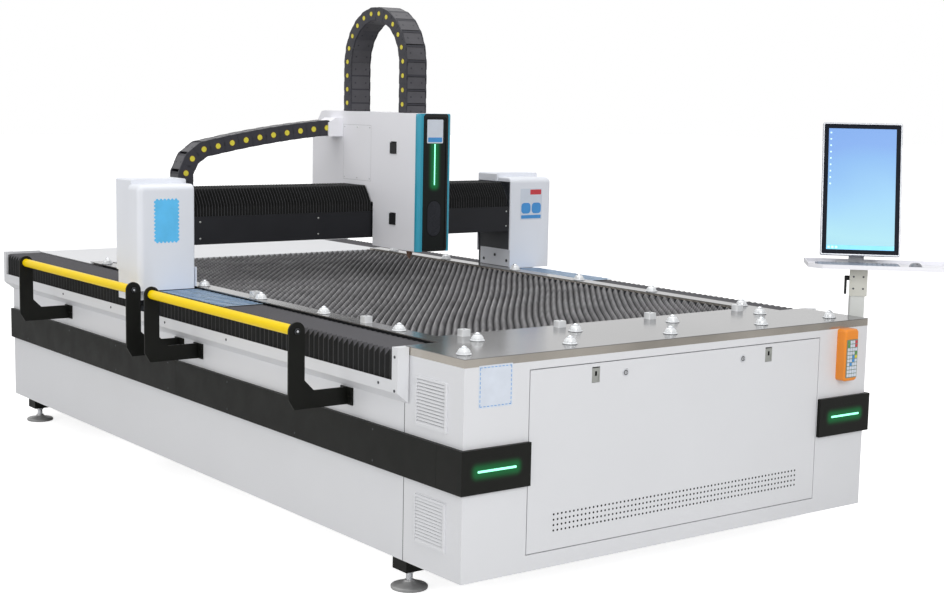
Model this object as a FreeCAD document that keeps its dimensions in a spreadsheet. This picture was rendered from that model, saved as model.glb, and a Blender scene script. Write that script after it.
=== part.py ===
import FreeCAD, Part
import Sketcher
import math
import os
import re

# Open-table fiber laser cutting machine for 3 m x 1.5 m sheets.
# Millimetres. While it is built, x runs right from the cabinet's left side, y runs back from the cabinet's
# front face and z runs up from the floor. The last step moves everything so that the origin is on the
# floor under the middle of the machine's footprint.

SIZES = [
    # bed and cabinet
    ("bed_width", 2300, "across the machine, over both side panels"),
    ("bed_length", 4577, "front face to rear face"),
    ("table_top", 1000, "steel table top above the floor"),
    ("body_bottom", 130, "lower edge of the panels above the floor"),
    ("cabinet_depth", 389, "front cabinet, front face to the seam in the side"),
    ("skin", 3, "sheet of the cabinet, panels and covers"),
    ("panel_seam", 1, "gap between neighbouring panels"),
    ("fit", 0.3, "clearance between pieces that only meet"),
    ("return_fold", 20, "inward fold along the edges of sheets and of the door"),
    # steel table plates
    ("top_plate", 4, "thickness of the steel plates"),
    ("top_skirt", 34, "fold at the front and sides of the front plate"),
    ("well_side", 245, "edge of the slat well from the side of the bed"),
    ("well_front", 530, "front edge of the slat well"),
    ("well_back", 777, "rear edge of the slat well from the rear face"),
    ("strip_outer", 160, "outer edge of the steel side strips"),
    ("strip_lip", 12, "downward fold along the well"),
    ("deck_drop", 10, "rear deck below the table top"),
    # slats
    ("slat_pitch", 47, "one slat to the next"),
    ("slat_sheet", 3, "slat thickness"),
    ("slat_tall", 100, "slat height to the tips"),
    ("slat_drop", 6, "tips below the table top"),
    ("slat_teeth", 5, "teeth on one slat"),
    ("tooth_depth", 30, "tip to root"),
    ("ledge_wide", 38, "shelf that the slat ends stand on"),
    # frame
    ("frame_inset", 10, "side beam from the outside of the side panel"),
    ("frame_wide", 140, "side beam width"),
    ("frame_tall", 240, "side beam height"),
    ("frame_top", 800, "top of the side beams"),
    ("cross_wide", 100, "cross beam width"),
    ("cross_tall", 160, "cross beam height"),
    ("cross_count", 6, "cross beams"),
    ("column_wide", 100, "column over each foot"),
    # levelling feet
    ("foot_in", 55, "foot centre from the side"),
    ("foot_front", 420, "front feet from the front face"),
    ("foot_back", 247, "rear feet from the rear face"),
    ("foot_disc", 76, "disc radius"),
    ("foot_disc_tall", 14, "disc rim height"),
    ("foot_stud", 14, "stud radius"),
    ("foot_block", 100, "block under the frame"),
    ("foot_block_tall", 50, "block height"),
    # black band and lamps
    ("band_low", 480, "lower edge of the band"),
    ("band_tall", 173, "band height"),
    ("band_proud", 18, "band stands out from the panel"),
    ("band_corner", 147, "seam of the corner piece along the side"),
    ("lamp_wide", 317, "corner piece along the front"),
    ("led_long", 190, "light bar"),
    ("led_tall", 12, "light bar height"),
    ("led_deep", 3, "light bar thickness"),
    # vents
    ("vent_front", 103, "front edge of the vents"),
    ("vent_long", 205, "vent length"),
    ("vent_tall", 196, "vent height"),
    ("vent_upper", 699, "lower edge of the upper vent"),
    ("vent_lower", 229, "lower edge of the lower vent"),
    ("vent_rim", 10, "vent frame width"),
    ("vent_proud", 8, "vent stands out from the side"),
    ("louvre_count", 13, "louvres in one vent"),
    # front door
    ("door_left", 318, "left edge of the door"),
    ("door_right", 325, "right edge of the door from the right side"),
    ("door_low", 200, "lower edge of the door"),
    ("door_tall", 731, "door height"),
    ("door_gap", 4, "gap round the door"),
    ("hinge_in", 7, "hinge axis from the door's lower front edge, both ways"),
    ("pin_radius", 3, "hinge pin radius"),
    ("pin_play", 0.05, "play round the hinge pin"),
    ("latch_left", 632, "left latch from the left side"),
    ("latch_in", 673, "right latch from the right side"),
    ("latch_low", 853, "lower edge of the latches"),
    ("latch_wide", 42, "latch recess width"),
    ("latch_tall", 64, "latch recess height"),
    ("latch_paddle", 28, "paddle depth into the door"),
    ("latch_pin", 2.5, "radius of the latch's pin"),
    ("latch_ear", 6, "ears that hold the pin"),
    ("latch_drop", 8, "pin below the upper edge of its cut-out"),
    ("lock_left", 812, "left lock"),
    ("lock_in", 812, "right lock from the right side"),
    ("lock_high", 880, "lock centre above the floor"),
    ("lock_radius", 14, "lock radius"),
    # side channel for the bellows
    ("channel_out", 57, "channel cover stands out from the side"),
    ("channel_rim", 866, "top edge of the channel cover"),
    ("channel_knee", 817, "lower end of its upright face"),
    ("channel_foot", 773, "where it meets the side panel"),
    ("channel_ahead", 11, "front end of the bellows behind the cabinet"),
    ("channel_back", 36, "rear end of the bellows from the rear face"),
    ("cap_front", 360, "front face of the end caps beside the cabinet"),
    ("cap_top", 998, "top of the end caps"),
    ("bellows_out", 50, "ridges of the bellows outside the bed"),
    ("bellows_in", 158, "inner side of the bellows"),
    ("bellows_top", 987, "ridges above the floor"),
    ("bellows_low", 852, "lower edge of the bellows"),
    ("pleat_pitch", 38.5, "side bellows, ridge to ridge"),
    ("pleat_depth", 16, "ridge to valley"),
    ("scale_run", 700, "length of the scale plates before the gantry"),
    ("scale_pitch", 44, "one scale plate to the next"),
    ("scale_sheet", 1.5, "scale plate thickness"),
    ("scale_lap", 1.3, "length of a scale plate, in pitches"),
    # guide rails and racks on the side beams
    ("rail_in", 112, "rail centre from the side"),
    ("rail_wide", 34, "rail width"),
    ("rail_tall", 29, "rail height"),
    ("rack_in", 52, "outer face of the rack from the side"),
    ("rack_wide", 20, "rack width"),
    ("rack_tall", 25, "rack height"),
    ("pinion_radius", 18, "pitch radius of the drive pinions"),
    ("pinion_tall", 19, "pinion width"),
    # transfer ball units and stops on the table
    ("unit_in", 200, "units beside the well from the side of the bed"),
    ("unit_row", 100, "front row of units from the front face"),
    ("unit_wide", 62, "flange across its corners"),
    ("unit_flange", 5, "flange thickness"),
    ("unit_cup", 44, "cup across its corners"),
    ("unit_cup_tall", 16, "cup height above the flange"),
    ("ball_radius", 15, "ball radius"),
    ("stop_wide", 42, "stop block"),
    ("stop_tall", 30, "stop block height"),
    # handrails on the left side
    ("rail_out", 247.5, "tube centre outside the bed"),
    ("rail_high", 1020, "tube centre above the floor"),
    ("tube_radius", 21.5, "tube radius"),
    ("strap_wide", 75, "bracket width"),
    ("strap_sheet", 10, "bracket thickness"),
    ("arm_low", 697, "lower edge of the bracket arm"),
    ("arm_tall", 73, "bracket arm height"),
    ("gusset", 45, "diagonal in the corner of the bracket"),
    ("flange_wide", 90, "bolting flange"),
    ("bolt_wide", 16, "bolt head across flats"),
    ("bolt_tall", 7, "bolt head height"),
    # gantry
    ("gantry_front", 2480, "front of the end housings with the gantry at rest"),
    ("cover_out", 155, "front cover outside the bed"),
    ("cover_in", 148, "front cover inner side"),
    ("cover_low", 992, "lower edge of the front cover"),
    ("cover_top", 1514, "top of the front cover"),
    ("cover_deep", 120, "front cover depth"),
    ("cover_round", 30, "edge radius of the front cover"),
    ("cover_edge", 9, "edge radius of the front cover beside the beam"),
    ("core_bevel", 0.62, "inner bevel of a cover for each millimetre of its outer radius"),
    ("end_sheet", 13, "plates of the gantry that the bellows end on"),
    ("arm_level", 1150, "arms that carry the covers"),
    ("arm_wide", 40, "arms that carry the covers"),
    ("arm_gap", 10, "arms from the seam of the covers"),
    ("box_out", 140, "rear cover outside the bed"),
    ("box_low", 1075, "step at the bottom of the rear cover"),
    ("box_top", 1535, "top of the rear cover"),
    ("box_deep", 180, "rear cover depth"),
    ("mouth_rim", 25, "rim of the rear cover towards the front cover"),
    ("box_round", 6, "edge bevel of the rear cover"),
    ("apron_out", 131, "apron below the rear cover, outside the bed"),
    ("apron_low", 930, "lower edge of the apron"),
    ("lip_low", 1490, "lower edge of the covers over the beam"),
    ("beam_set", 13, "front of the beam behind the front of the end housings"),
    ("beam_deep", 277, "beam depth"),
    ("beam_low", 1208, "lower side of the beam"),
    ("beam_tall", 137, "beam height"),
    ("beam_in", 100, "beam end from the side of the bed"),
    ("plate_set", 10, "cover plate behind the front of the end housings"),
    ("plate_tall", 141, "cover plate height"),
    ("post_wide", 50, "post under each end of the beam"),
    ("shoe_low", 850, "underside of the shoe plate"),
    ("shoe_tall", 30, "shoe plate thickness"),
    ("block_wide", 70, "bearing block width"),
    ("block_long", 110, "bearing block length"),
    ("motor_wide", 80, "drive motor"),
    ("motor_tall", 200, "drive motor height"),
    ("shaft_radius", 8, "motor shaft radius"),
    # bellows over the beam
    ("fold_pitch", 27, "beam bellows, ridge to ridge"),
    ("fold_depth", 13, "ridge to valley"),
    ("fold_top", 1486, "ridges above the floor"),
    ("fold_low", 1349, "lower edge"),
    ("fold_gap", 3, "ridges behind the cover plate's front"),
    ("fold_bevel", 80, "bevel of the ridges at the upper front"),
    ("fold_wall", 46, "bellows thickness over the rails"),
    ("cross_rail_wide", 23, "beam rail width"),
    ("cross_rail_tall", 29, "beam rail height"),
    ("cross_rail_front", 60, "front beam rail behind the beam's front"),
    ("cross_rail_rear", 210, "rear beam rail behind the beam's front"),
    # carriage
    ("head_left", 1209, "left side of the carriage at rest"),
    ("head_wide", 207, "carriage width"),
    ("head_reach", 425, "front of the carriage before the end housings"),
    ("frame_deep", 30, "coloured front frame depth"),
    ("head_low", 1165, "lower edge of the front part"),
    ("head_top", 1880, "top of the carriage"),
    ("head_set", 0, "rear of the front part behind the front of the end housings"),
    ("tail_reach", 630, "rear of the carriage behind the front of the end housings"),
    ("tail_low", 1400, "underside over the beam"),
    ("tail_shoulder", 1730, "top of the upright rear side"),
    ("trim_wide", 29, "coloured frame beside the black panel"),
    ("trim_top", 12, "coloured frame over the black panel"),
    ("trim_round", 18, "corner radius of the coloured frame"),
    ("oval_wide", 82, "oval recess in the black panel"),
    ("oval_low", 1245, "lower end of the oval"),
    ("oval_tall", 184, "oval height"),
    ("strip_low", 1511, "lower end of the light strip"),
    ("strip_tall", 214, "light strip length"),
    ("strip_wide", 11, "light strip width"),
    ("catch_set", 204, "front edge of the side catches behind the carriage's front"),
    ("catch_wide", 57, "side catch along the carriage"),
    ("catch_tall", 65, "side catch height"),
    ("catch_upper", 1665, "lower edge of the upper catch"),
    ("catch_lower", 1291, "lower edge of the lower catch"),
    ("catch_deep", 10, "catch thickness"),
    ("nozzle_set", 222, "cutting axis behind the carriage's front"),
    ("nozzle_low", 1108, "nozzle tip above the floor"),
    # energy chains
    ("chain_pitch", 85, "cross chain, pivot to pivot"),
    ("chain_tall", 85, "cross chain link height"),
    ("chain_wide", 100, "cross chain width"),
    ("chain_set", 320, "front side of the cross chain behind the end housings' front"),
    ("chain_holder", 90, "holder of the cross chain on the carriage"),
    ("chain_tilt", 6, "first link clear of the holder, as it slopes"),
    ("chain_start", 1787, "cross chain pivots at the carriage"),
    ("chain_bend_x", 430, "centre of the bend"),
    ("chain_bend_z", 1513, "centre of the bend"),
    ("chain_bend", 173, "bend radius"),
    ("chain_fixed", 1130, "fixed end behind the beam"),
    ("tower_pitch", 75, "head chain, pivot to pivot"),
    ("tower_tall", 70, "head chain link height"),
    ("tower_wide", 130, "head chain width"),
    ("tower_set", 213, "front leg behind the carriage's front"),
    ("tower_bend", 270, "bend radius"),
    ("tower_centre", 2133, "centre of the bend"),
    ("tower_foot", 1850, "lower ends of both legs"),
    ("side_pitch", 60, "long chain, pivot to pivot"),
    ("side_tall", 45, "long chain link height"),
    ("side_wide", 76, "long chain width"),
    ("side_out", 66, "long chain outside the bed"),
    ("side_low", 679, "lower run pivots"),
    ("side_bend", 75, "bend radius"),
    ("side_fix", 2042, "fixed end from the rear face, half way along the travel"),
    ("side_run", 995, "centre of the bend behind the end housings' front at rest"),
    # dust outlet at the rear
    ("duct_radius", 125, "outlet radius"),
    ("duct_long", 60, "outlet length"),
    ("duct_high", 440, "outlet centre above the floor"),
    # console
    ("post_out", 50, "swivel axis outside the right side"),
    ("post_y", 113, "swivel axis from the front face"),
    ("post_square", 65, "square post"),
    ("post_low", 935, "lower end of the post"),
    ("post_top", 1220, "upper end of the post"),
    ("spigot_radius", 24, "spigot that the post turns on"),
    ("console_turn", -43.7, "degrees that the console is turned to the operator"),
    ("tray_left", 238, "tray to the left of the post"),
    ("tray_right", 420, "tray to the right of the post"),
    ("tray_front", 170, "tray in front of the post"),
    ("tray_back", 130, "tray behind the post"),
    ("tray_low", 1226, "underside of the tray"),
    ("tray_sheet", 3, "tray sheet"),
    ("tray_lip", 20, "fold round the tray"),
    ("tray_cut", 60, "cut corner at the front left"),
    ("screen_wide", 362, "monitor width"),
    ("screen_tall", 622, "monitor height"),
    ("screen_deep", 32, "monitor thickness"),
    ("screen_high", 1570, "monitor centre above the floor"),
    ("screen_lean", 13, "degrees that the monitor leans back"),
    ("screen_pin", 5, "radius of the monitor's hinge pin"),
    ("keys_wide", 376, "keyboard"),
    ("keys_deep", 128, "keyboard"),
    ("keys_tall", 20, "keyboard"),
    ("mouse_left", 215, "mouse to the right of the post"),
    ("mouse_wide", 60, "mouse width"),
    ("mouse_long", 106, "mouse length"),
    ("mouse_tall", 31, "mouse height"),
    # pendant on the front
    ("pendant_in", 206, "pendant from the right side"),
    ("pendant_wide", 86, "pendant width"),
    ("pendant_low", 730, "lower end of the pendant"),
    ("pendant_tall", 236, "pendant height"),
    ("pendant_deep", 40, "pendant thickness"),
    ("holder_deep", 12, "pendant holder thickness"),
    # inside the cabinet
    ("source_wide", 620, "laser source"),
    ("source_tall", 380, "laser source"),
    ("control_wide", 560, "control box"),
    ("control_tall", 640, "control box"),
    ("equipment_deep", 300, "both boxes"),
]

doc = FreeCAD.newDocument("laser_cutting_machine")
sizes = doc.addObject("Spreadsheet::Sheet", "Sizes")
for row, (alias, value, meaning) in enumerate(SIZES, start=1):
    sizes.set("A%d" % row, alias)
    sizes.set("B%d" % row, str(value))
    sizes.set("C%d" % row, meaning)
    sizes.setAlias("B%d" % row, alias)
doc.recompute()
ALIASES = {alias for alias, value, meaning in SIZES}

# Places that follow from the sizes.
FOLLOWS = {
    "channel_front": "cabinet_depth + channel_ahead",
    "foot_rear": "bed_length - foot_back",
    "well_rear": "bed_length - well_back",
    "channel_rear": "bed_length - channel_back",
    "beam_front": "gantry_front + beam_set",
    "plate_front": "gantry_front + plate_set",
    "head_front": "gantry_front - head_reach",
    "head_back": "gantry_front + head_set",
    "tail_back": "gantry_front + tail_reach",
    "catch_back": "head_front + catch_set",
    "nozzle_back": "head_front + nozzle_set",
    "tower_front": "head_front + tower_set",
    "chain_front": "gantry_front + chain_set",
    "side_turn": "gantry_front + side_run",
    "scale_front": "gantry_front - scale_run",
    "side_fixed": "bed_length - side_fix",
    "post_x": "bed_width + post_out",
    "door_wide": "bed_width - door_left - door_right",
    "latch_right": "bed_width - latch_in",
    "lock_right": "bed_width - lock_in",
    "pendant_left": "bed_width - pendant_in",
}

RIGHT_ANGLE = 90
NODES = []


def bound(text):
    """An expression on the sheet's names and what follows from them, as the document reads it."""

    def spelled(word):
        if word[0] in FOLLOWS:
            return "(%s)" % bound(FOLLOWS[word[0]])
        return "Sizes." + word[0] if word[0] in ALIASES else word[0]

    return re.sub(r"[a-z]\w*", spelled, str(text))


def value_of(text):
    """The number that an expression has now."""
    return float(sizes.evalExpression(bound(text)))


def node(item):
    """Registers a finished sub-part."""
    NODES.append(item)
    return item


# ---- sketched pieces ----------------------------------------------------------------------------------

def rectangle(left, low, right, high):
    return [(left, low), (right, low), (right, high), (left, high)]


def circle(across, up, radius):
    return ("circle", across, up, radius)


def new_body(label):
    body = doc.addObject("PartDesign::Body", label)
    body.Label = label
    body.AllowCompound = True
    return body


def draw(body, plane, level, loops):
    """A sketch on one of the body's own planes, at a level along that plane's axis."""
    sketch = body.newObject("Sketcher::SketchObject", body.Label + "_sketch")
    flat = next(item for item in body.Origin.OriginFeatures if item.Role == plane + "_Plane")
    sketch.AttachmentSupport = [(flat, "")]
    sketch.MapMode = "FlatFace"
    sign = "-" if plane == "XZ" else ""
    sketch.setExpression(".AttachmentOffset.Base.z", bound("%s(%s)" % (sign, level)))
    for loop in loops:
        if loop[0] == "circle":
            draw_circle(sketch, *loop[1:])
        else:
            draw_polygon(sketch, loop)
    return sketch


def fix_point(sketch, line, end, across, up):
    """Ties a point's two coordinates to the sheet."""
    for kind, text in (("DistanceX", across), ("DistanceY", up)):
        index = sketch.addConstraint(Sketcher.Constraint(kind, -1, 1, line, end, value_of(text)))
        sketch.setExpression("Constraints[%d]" % index, bound(text))


def draw_circle(sketch, across, up, radius):
    centre = FreeCAD.Vector(value_of(across), value_of(up), 0)
    ring = sketch.addGeometry(Part.Circle(centre, FreeCAD.Vector(0, 0, 1), value_of(radius)))
    fix_point(sketch, ring, 3, across, up)
    index = sketch.addConstraint(Sketcher.Constraint("Radius", ring, value_of(radius)))
    sketch.setExpression("Constraints[%d]" % index, bound(radius))


def draw_polygon(sketch, loop):
    corners = [FreeCAD.Vector(value_of(across), value_of(up), 0) for across, up in loop]
    lines = []
    for start, end in zip(corners, corners[1:] + corners[:1]):
        lines.append(sketch.addGeometry(Part.LineSegment(start, end)))
    for line, following in zip(lines, lines[1:] + lines[:1]):
        sketch.addConstraint(Sketcher.Constraint("Coincident", line, 2, following, 1))
    for line, (across, up) in zip(lines, loop):
        fix_point(sketch, line, 1, across, up)


def pad(body, plane, level, length, *loops):
    """Adds material from a level towards the plane's positive axis."""
    feature = body.newObject("PartDesign::Pad", body.Label + "_pad")
    feature.Profile = draw(body, plane, level, loops)
    feature.Reversed = plane == "XZ"
    feature.setExpression("Length", bound(length))
    body.Tip = feature
    return feature


def pocket(body, plane, level, length, *loops):
    """Removes material from a level towards the plane's positive axis."""
    feature = body.newObject("PartDesign::Pocket", body.Label + "_pocket")
    feature.Profile = draw(body, plane, level, loops)
    feature.Reversed = plane != "XZ"
    feature.setExpression("Length", bound(length))
    body.Tip = feature
    return feature


def padded(label, plane, level, length, *loops):
    body = new_body(label)
    pad(body, plane, level, length, *loops)
    return body


def dress_edges(body, kind, size, chosen):
    """Rounds or bevels the edges of the body's last feature that the test picks by middle point and
    direction."""
    doc.recompute()
    last = body.Tip
    names = []
    for number, edge in enumerate(last.Shape.Edges, start=1):
        if edge.Degenerated:
            continue
        middle = edge.CenterOfMass
        way = edge.tangentAt(edge.FirstParameter)
        if chosen(middle, way):
            names.append("Edge%d" % number)
    feature = body.newObject("PartDesign::" + kind, body.Label + "_edges")
    feature.Base = (last, names)
    feature.setExpression({"Fillet": "Radius", "Chamfer": "Size"}[kind], bound(size))
    body.Tip = feature


# ---- primitives, copies and groups --------------------------------------------------------------------

def block(label, corner, extent):
    """A box from its lowest corner and its size."""
    box = doc.addObject("Part::Box", label)
    for name, text in zip(("Length", "Width", "Height"), extent):
        box.setExpression(name, bound(text))
    for name, text in zip("xyz", corner):
        box.setExpression(".Placement.Base." + name, bound(text))
    return box


def rod(label, base, radius, length, turn=None):
    """A cylinder from the centre of its lower face, upright unless it is turned."""
    cylinder = doc.addObject("Part::Cylinder", label)
    cylinder.setExpression("Radius", bound(radius))
    cylinder.setExpression("Height", bound(length))
    if turn:
        cylinder.Placement.Rotation = turn
    for name, text in zip("xyz", base):
        cylinder.setExpression(".Placement.Base." + name, bound(text))
    return cylinder


def prism(label, base, radius, sides, length, turn=None):
    """A regular prism from the centre of its lower face, with its corners on a circle."""
    bar = doc.addObject("Part::Prism", label)
    bar.Polygon = sides
    bar.setExpression("Circumradius", bound(radius))
    bar.setExpression("Height", bound(length))
    if turn:
        bar.Placement.Rotation = turn
    for name, text in zip("xyz", base):
        bar.setExpression(".Placement.Base." + name, bound(text))
    return bar


def revolved(label, base, profile):
    """A turned piece on an upright axis, from a profile of (radius, height) points that starts and ends on
    it."""
    body = new_body(label)
    turning = body.newObject("PartDesign::Revolution", label + "_turning")
    turning.Profile = draw(body, "XZ", "0", [profile])
    turning.ReferenceAxis = (turning.Profile[0], ["V_Axis"])
    turning.Angle = 360
    body.Tip = turning
    for name, text in zip("xyz", base):
        body.setExpression(".Placement.Base." + name, bound(text))
    return body


TO_BACK = FreeCAD.Rotation(FreeCAD.Vector(1, 0, 0), -RIGHT_ANGLE)
TO_RIGHT = FreeCAD.Rotation(FreeCAD.Vector(0, 1, 0), RIGHT_ANGLE)
TO_LEFT = FreeCAD.Rotation(FreeCAD.Vector(0, 1, 0), -RIGHT_ANGLE)


def group(label, *items):
    """Separate solids of like kind that share a node."""
    whole = doc.addObject("Part::Compound", label)
    whole.Label = label
    whole.Links = list(items)
    return whole


def fuse(label, *items):
    whole = doc.addObject("Part::MultiFuse", label)
    whole.Label = label
    whole.Shapes = list(items)
    whole.Refine = True
    return whole


def cut(label, base, tool):
    rest = doc.addObject("Part::Cut", label)
    rest.Label = label
    rest.Base = base
    rest.Tool = tool
    return rest


def mirrored(item):
    """The same piece on the other side of the machine."""
    copy = doc.addObject("Part::Mirroring", item.Label + "_right")
    copy.Source = item
    copy.Normal = FreeCAD.Vector(1, 0, 0)
    copy.Base = FreeCAD.Vector(sizes.bed_width / 2, 0, 0)
    return copy


def shaped(label, shape):
    """A piece whose form follows from a formula."""
    feature = doc.addObject("Part::Feature", label)
    feature.Label = label
    feature.Shape = shape
    return feature


def closed(points):
    return Part.makePolygon(points + points[:1])


def stacked(centre, rings, sides):
    """A solid through regular polygons, each given by its radius and its height over the centre."""
    sections = []
    for radius, height in rings:
        corners = []
        for side in range(sides):
            angle = 2 * math.pi * (side + 0.5) / sides
            corners.append(centre + FreeCAD.Vector(radius * math.cos(angle), radius * math.sin(angle),
                                                   height))
        sections.append(corners)
    faces = [Part.Face(closed(sections[0])), Part.Face(closed(sections[-1]))]
    for lower, upper in zip(sections, sections[1:]):
        for side in range(sides):
            other = (side + 1) % sides
            faces.append(Part.Face(closed([lower[side], lower[other], upper[other], upper[side]])))
    return Part.makeSolid(Part.makeShell(faces))


def zigzag(start, stop, pitch, ridge, valley):
    """A folded edge as (place along, level) points, with a valley at both ends."""
    count = max(1, round((stop - start) / pitch))
    step = (stop - start) / (2 * count)
    return [(start + step * number, ridge if number % 2 else valley) for number in range(2 * count + 1)]


def slab(points, way):
    """A flat outline pushed along a vector."""
    return Part.Face(closed(points)).extrude(way)


# ---- frame, feet, guides ------------------------------------------------------------------------------

def cross_places():
    """Front faces of the cross beams, evenly from the well's front to the rear panel."""
    first = sizes.well_front
    last = sizes.bed_length - sizes.skin - sizes.return_fold - sizes.cross_wide
    step = (last - first) / (sizes.cross_count - 1)
    return [first + step * number for number in range(int(sizes.cross_count))]


def bed_frame():
    """Two side beams with machined tops, columns over the feet and cross beams between the side beams."""
    front = "cabinet_depth + %g" % sizes.fit
    beam = block("side_beam", ("frame_inset", front, "frame_top - frame_tall"),
                 ("frame_wide", "bed_length - skin - fit - (%s)" % front, "frame_tall"))
    bars = [beam, mirrored(beam)]
    for name, place in (("front", front), ("rear", "foot_rear - column_wide / 2")):
        column = block("column_" + name, ("frame_inset", place, "body_bottom + skin"),
                       ("column_wide", "column_wide", "frame_top - frame_tall - body_bottom - skin"))
        bars += [column, mirrored(column)]
    for number, place in enumerate(cross_places()):
        bars.append(block("cross_beam_%d" % number,
                          ("frame_inset + frame_wide", place, "frame_top - cross_tall - 40"),
                          ("bed_width - 2 * (frame_inset + frame_wide)", "cross_wide", "cross_tall")))
    node(group("bed_frame", *bars))


def levelling_feet():
    """Dished disc and stud in one, under a block that is welded to the frame."""
    pieces = []
    under = "body_bottom - foot_block_tall"
    for name, place in (("front", "foot_front"), ("rear", "foot_rear")):
        foot = revolved("foot_" + name, ("foot_in", place, "0"), [
            ("0", "0"),
            ("foot_disc", "0"),
            ("foot_disc", "foot_disc_tall"),
            ("foot_stud", "foot_disc_tall * 2"),
            ("foot_stud", under),
            ("0", under),
        ])
        base = block("foot_block_" + name,
                     ("foot_in - foot_block / 2", "%s - foot_block / 2" % place, under),
                     ("foot_block", "foot_block", "foot_block_tall"))
        pieces += [foot, base, mirrored(foot), mirrored(base)]
    node(group("levelling_feet", *pieces))


def guides():
    """Linear rails and racks along both side beams."""
    start = "channel_front + 20"
    long = "channel_rear - channel_front - 40"
    rail = padded("side_rail", "XZ", start, long, [
        ("rail_in - rail_wide / 2", "frame_top"),
        ("rail_in + rail_wide / 2", "frame_top"),
        ("rail_in + rail_wide / 2", "frame_top + rail_tall * 0.4"),
        ("rail_in + rail_wide * 0.35", "frame_top + rail_tall * 0.6"),
        ("rail_in + rail_wide / 2", "frame_top + rail_tall * 0.85"),
        ("rail_in + rail_wide * 0.42", "frame_top + rail_tall"),
        ("rail_in - rail_wide * 0.42", "frame_top + rail_tall"),
        ("rail_in - rail_wide / 2", "frame_top + rail_tall * 0.85"),
        ("rail_in - rail_wide * 0.35", "frame_top + rail_tall * 0.6"),
        ("rail_in - rail_wide / 2", "frame_top + rail_tall * 0.4"),
    ])
    rack = block("side_rack", ("rack_in", start, "frame_top"), ("rack_wide", long, "rack_tall"))
    node(group("rails_and_racks", rail, rack, mirrored(rail), mirrored(rack)))


# ---- cabinet, panels, band ----------------------------------------------------------------------------

def vent_window(low):
    """Opening in a side sheet behind a vent."""
    return rectangle("vent_front + vent_rim", "%s + vent_rim" % low,
                     "vent_front + vent_long - vent_rim", "%s + vent_tall - vent_rim" % low)


def cabinet_shell():
    """Floor, both sides and back wall of the front cabinet in one welded sheet box, open at the front and
    top."""
    top = "table_top - top_skirt"
    shell = padded("cabinet_shell", "XY", "body_bottom", "%s - body_bottom" % top,
                   rectangle("0", "skin", "bed_width", "cabinet_depth"))
    pocket(shell, "XY", "body_bottom + skin", "table_top",
           rectangle("skin", "0", "bed_width - skin", "cabinet_depth - skin"))
    for low in ("vent_upper", "vent_lower"):
        pocket(shell, "YZ", "-1", "bed_width + 2", vent_window(low))
    node(shell)


def cabinet_front_frame():
    """Front sheet with the door opening and a fold behind its edges."""
    left = "door_left - door_gap"
    right = "door_left + door_wide + door_gap"
    low = "door_low - door_gap"
    high = "door_low + door_tall + door_gap"
    front = padded("cabinet_front_frame", "XZ", "0", "skin",
                   rectangle("0", "body_bottom", "bed_width", "table_top - top_skirt"),
                   rectangle(left, low, right, high))
    pad(front, "XZ", "skin", "return_fold",
        rectangle("%s - skin" % left, "%s - skin" % low, "%s + skin" % right, "%s + skin" % high),
        rectangle(left, low, right, high))
    pocket(front, "YZ", "-1", "bed_width + 2",
           circle("hinge_in", "door_low + hinge_in", "pin_radius + fit"))
    node(front)


def side_panels():
    """Long side sheets with a fold along the bottom."""
    panel = padded("side_panel", "XZ", "cabinet_depth + panel_seam",
                   "bed_length - cabinet_depth - panel_seam - skin", [
        ("0", "body_bottom"),
        ("return_fold", "body_bottom"),
        ("return_fold", "body_bottom + skin"),
        ("skin", "body_bottom + skin"),
        ("skin", "channel_foot"),
        ("0", "channel_foot"),
    ])
    node(group("side_panels", panel, mirrored(panel)))


def rear_panel():
    """Rear sheet with the round dust outlet, which an extraction hose is pushed over."""
    panel = padded("rear_panel", "XZ", "bed_length - skin", "skin",
                   rectangle("0", "body_bottom", "bed_width", "table_top - deck_drop - skin"),
                   circle("bed_width / 2", "duct_high", "duct_radius - skin"))
    pad(panel, "XZ", "bed_length", "duct_long",
        circle("bed_width / 2", "duct_high", "duct_radius"),
        circle("bed_width / 2", "duct_high", "duct_radius - skin"))
    pad(panel, "XZ", "bed_length - skin - return_fold", "return_fold",
        rectangle("return_fold + fit", "body_bottom", "bed_width - return_fold - fit", "body_bottom + skin"))
    node(panel)


def side_bands():
    """Raised black band along both sides and round the front corners, of folded sheet."""
    wall = "band_proud - skin"

    def channel(label, start, stop):
        return padded(label, "XZ", start, "%s - (%s)" % (stop, start), [
            ("-band_proud", "band_low"),
            ("0", "band_low"),
            ("0", "band_low + skin"),
            ("-(%s)" % wall, "band_low + skin"),
            ("-(%s)" % wall, "band_low + band_tall - skin"),
            ("0", "band_low + band_tall - skin"),
            ("0", "band_low + band_tall"),
            ("-band_proud", "band_low + band_tall"),
        ])

    middle = "(bed_length + band_corner) / 2"
    near = channel("band_near", "band_corner + panel_seam", middle)
    far = channel("band_far", "%s + panel_seam" % middle, "bed_length + skin")
    corner = padded("band_corner_piece", "XY", "band_low", "band_tall", [
        ("-band_proud", "-band_proud"),
        ("lamp_wide", "-band_proud"),
        ("lamp_wide", "0"),
        ("0", "0"),
        ("0", "band_corner"),
        ("-band_proud", "band_corner"),
    ])
    pocket(corner, "XZ", "-band_proud", "led_deep",
           rectangle("(lamp_wide - band_proud - led_long) / 2", "band_low + (band_tall - led_tall) / 2",
                     "(lamp_wide - band_proud + led_long) / 2", "band_low + (band_tall + led_tall) / 2"))
    node(group("side_bands", near, far, corner, mirrored(near), mirrored(far), mirrored(corner)))
    bar = block("led_bar",
                ("(lamp_wide - band_proud - led_long) / 2 + fit", "-band_proud - 1",
                 "band_low + (band_tall - led_tall) / 2 + fit"),
                ("led_long - 2 * fit", "led_deep + 1", "led_tall - 2 * fit"))
    node(group("led_bars", bar, mirrored(bar)))


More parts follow.
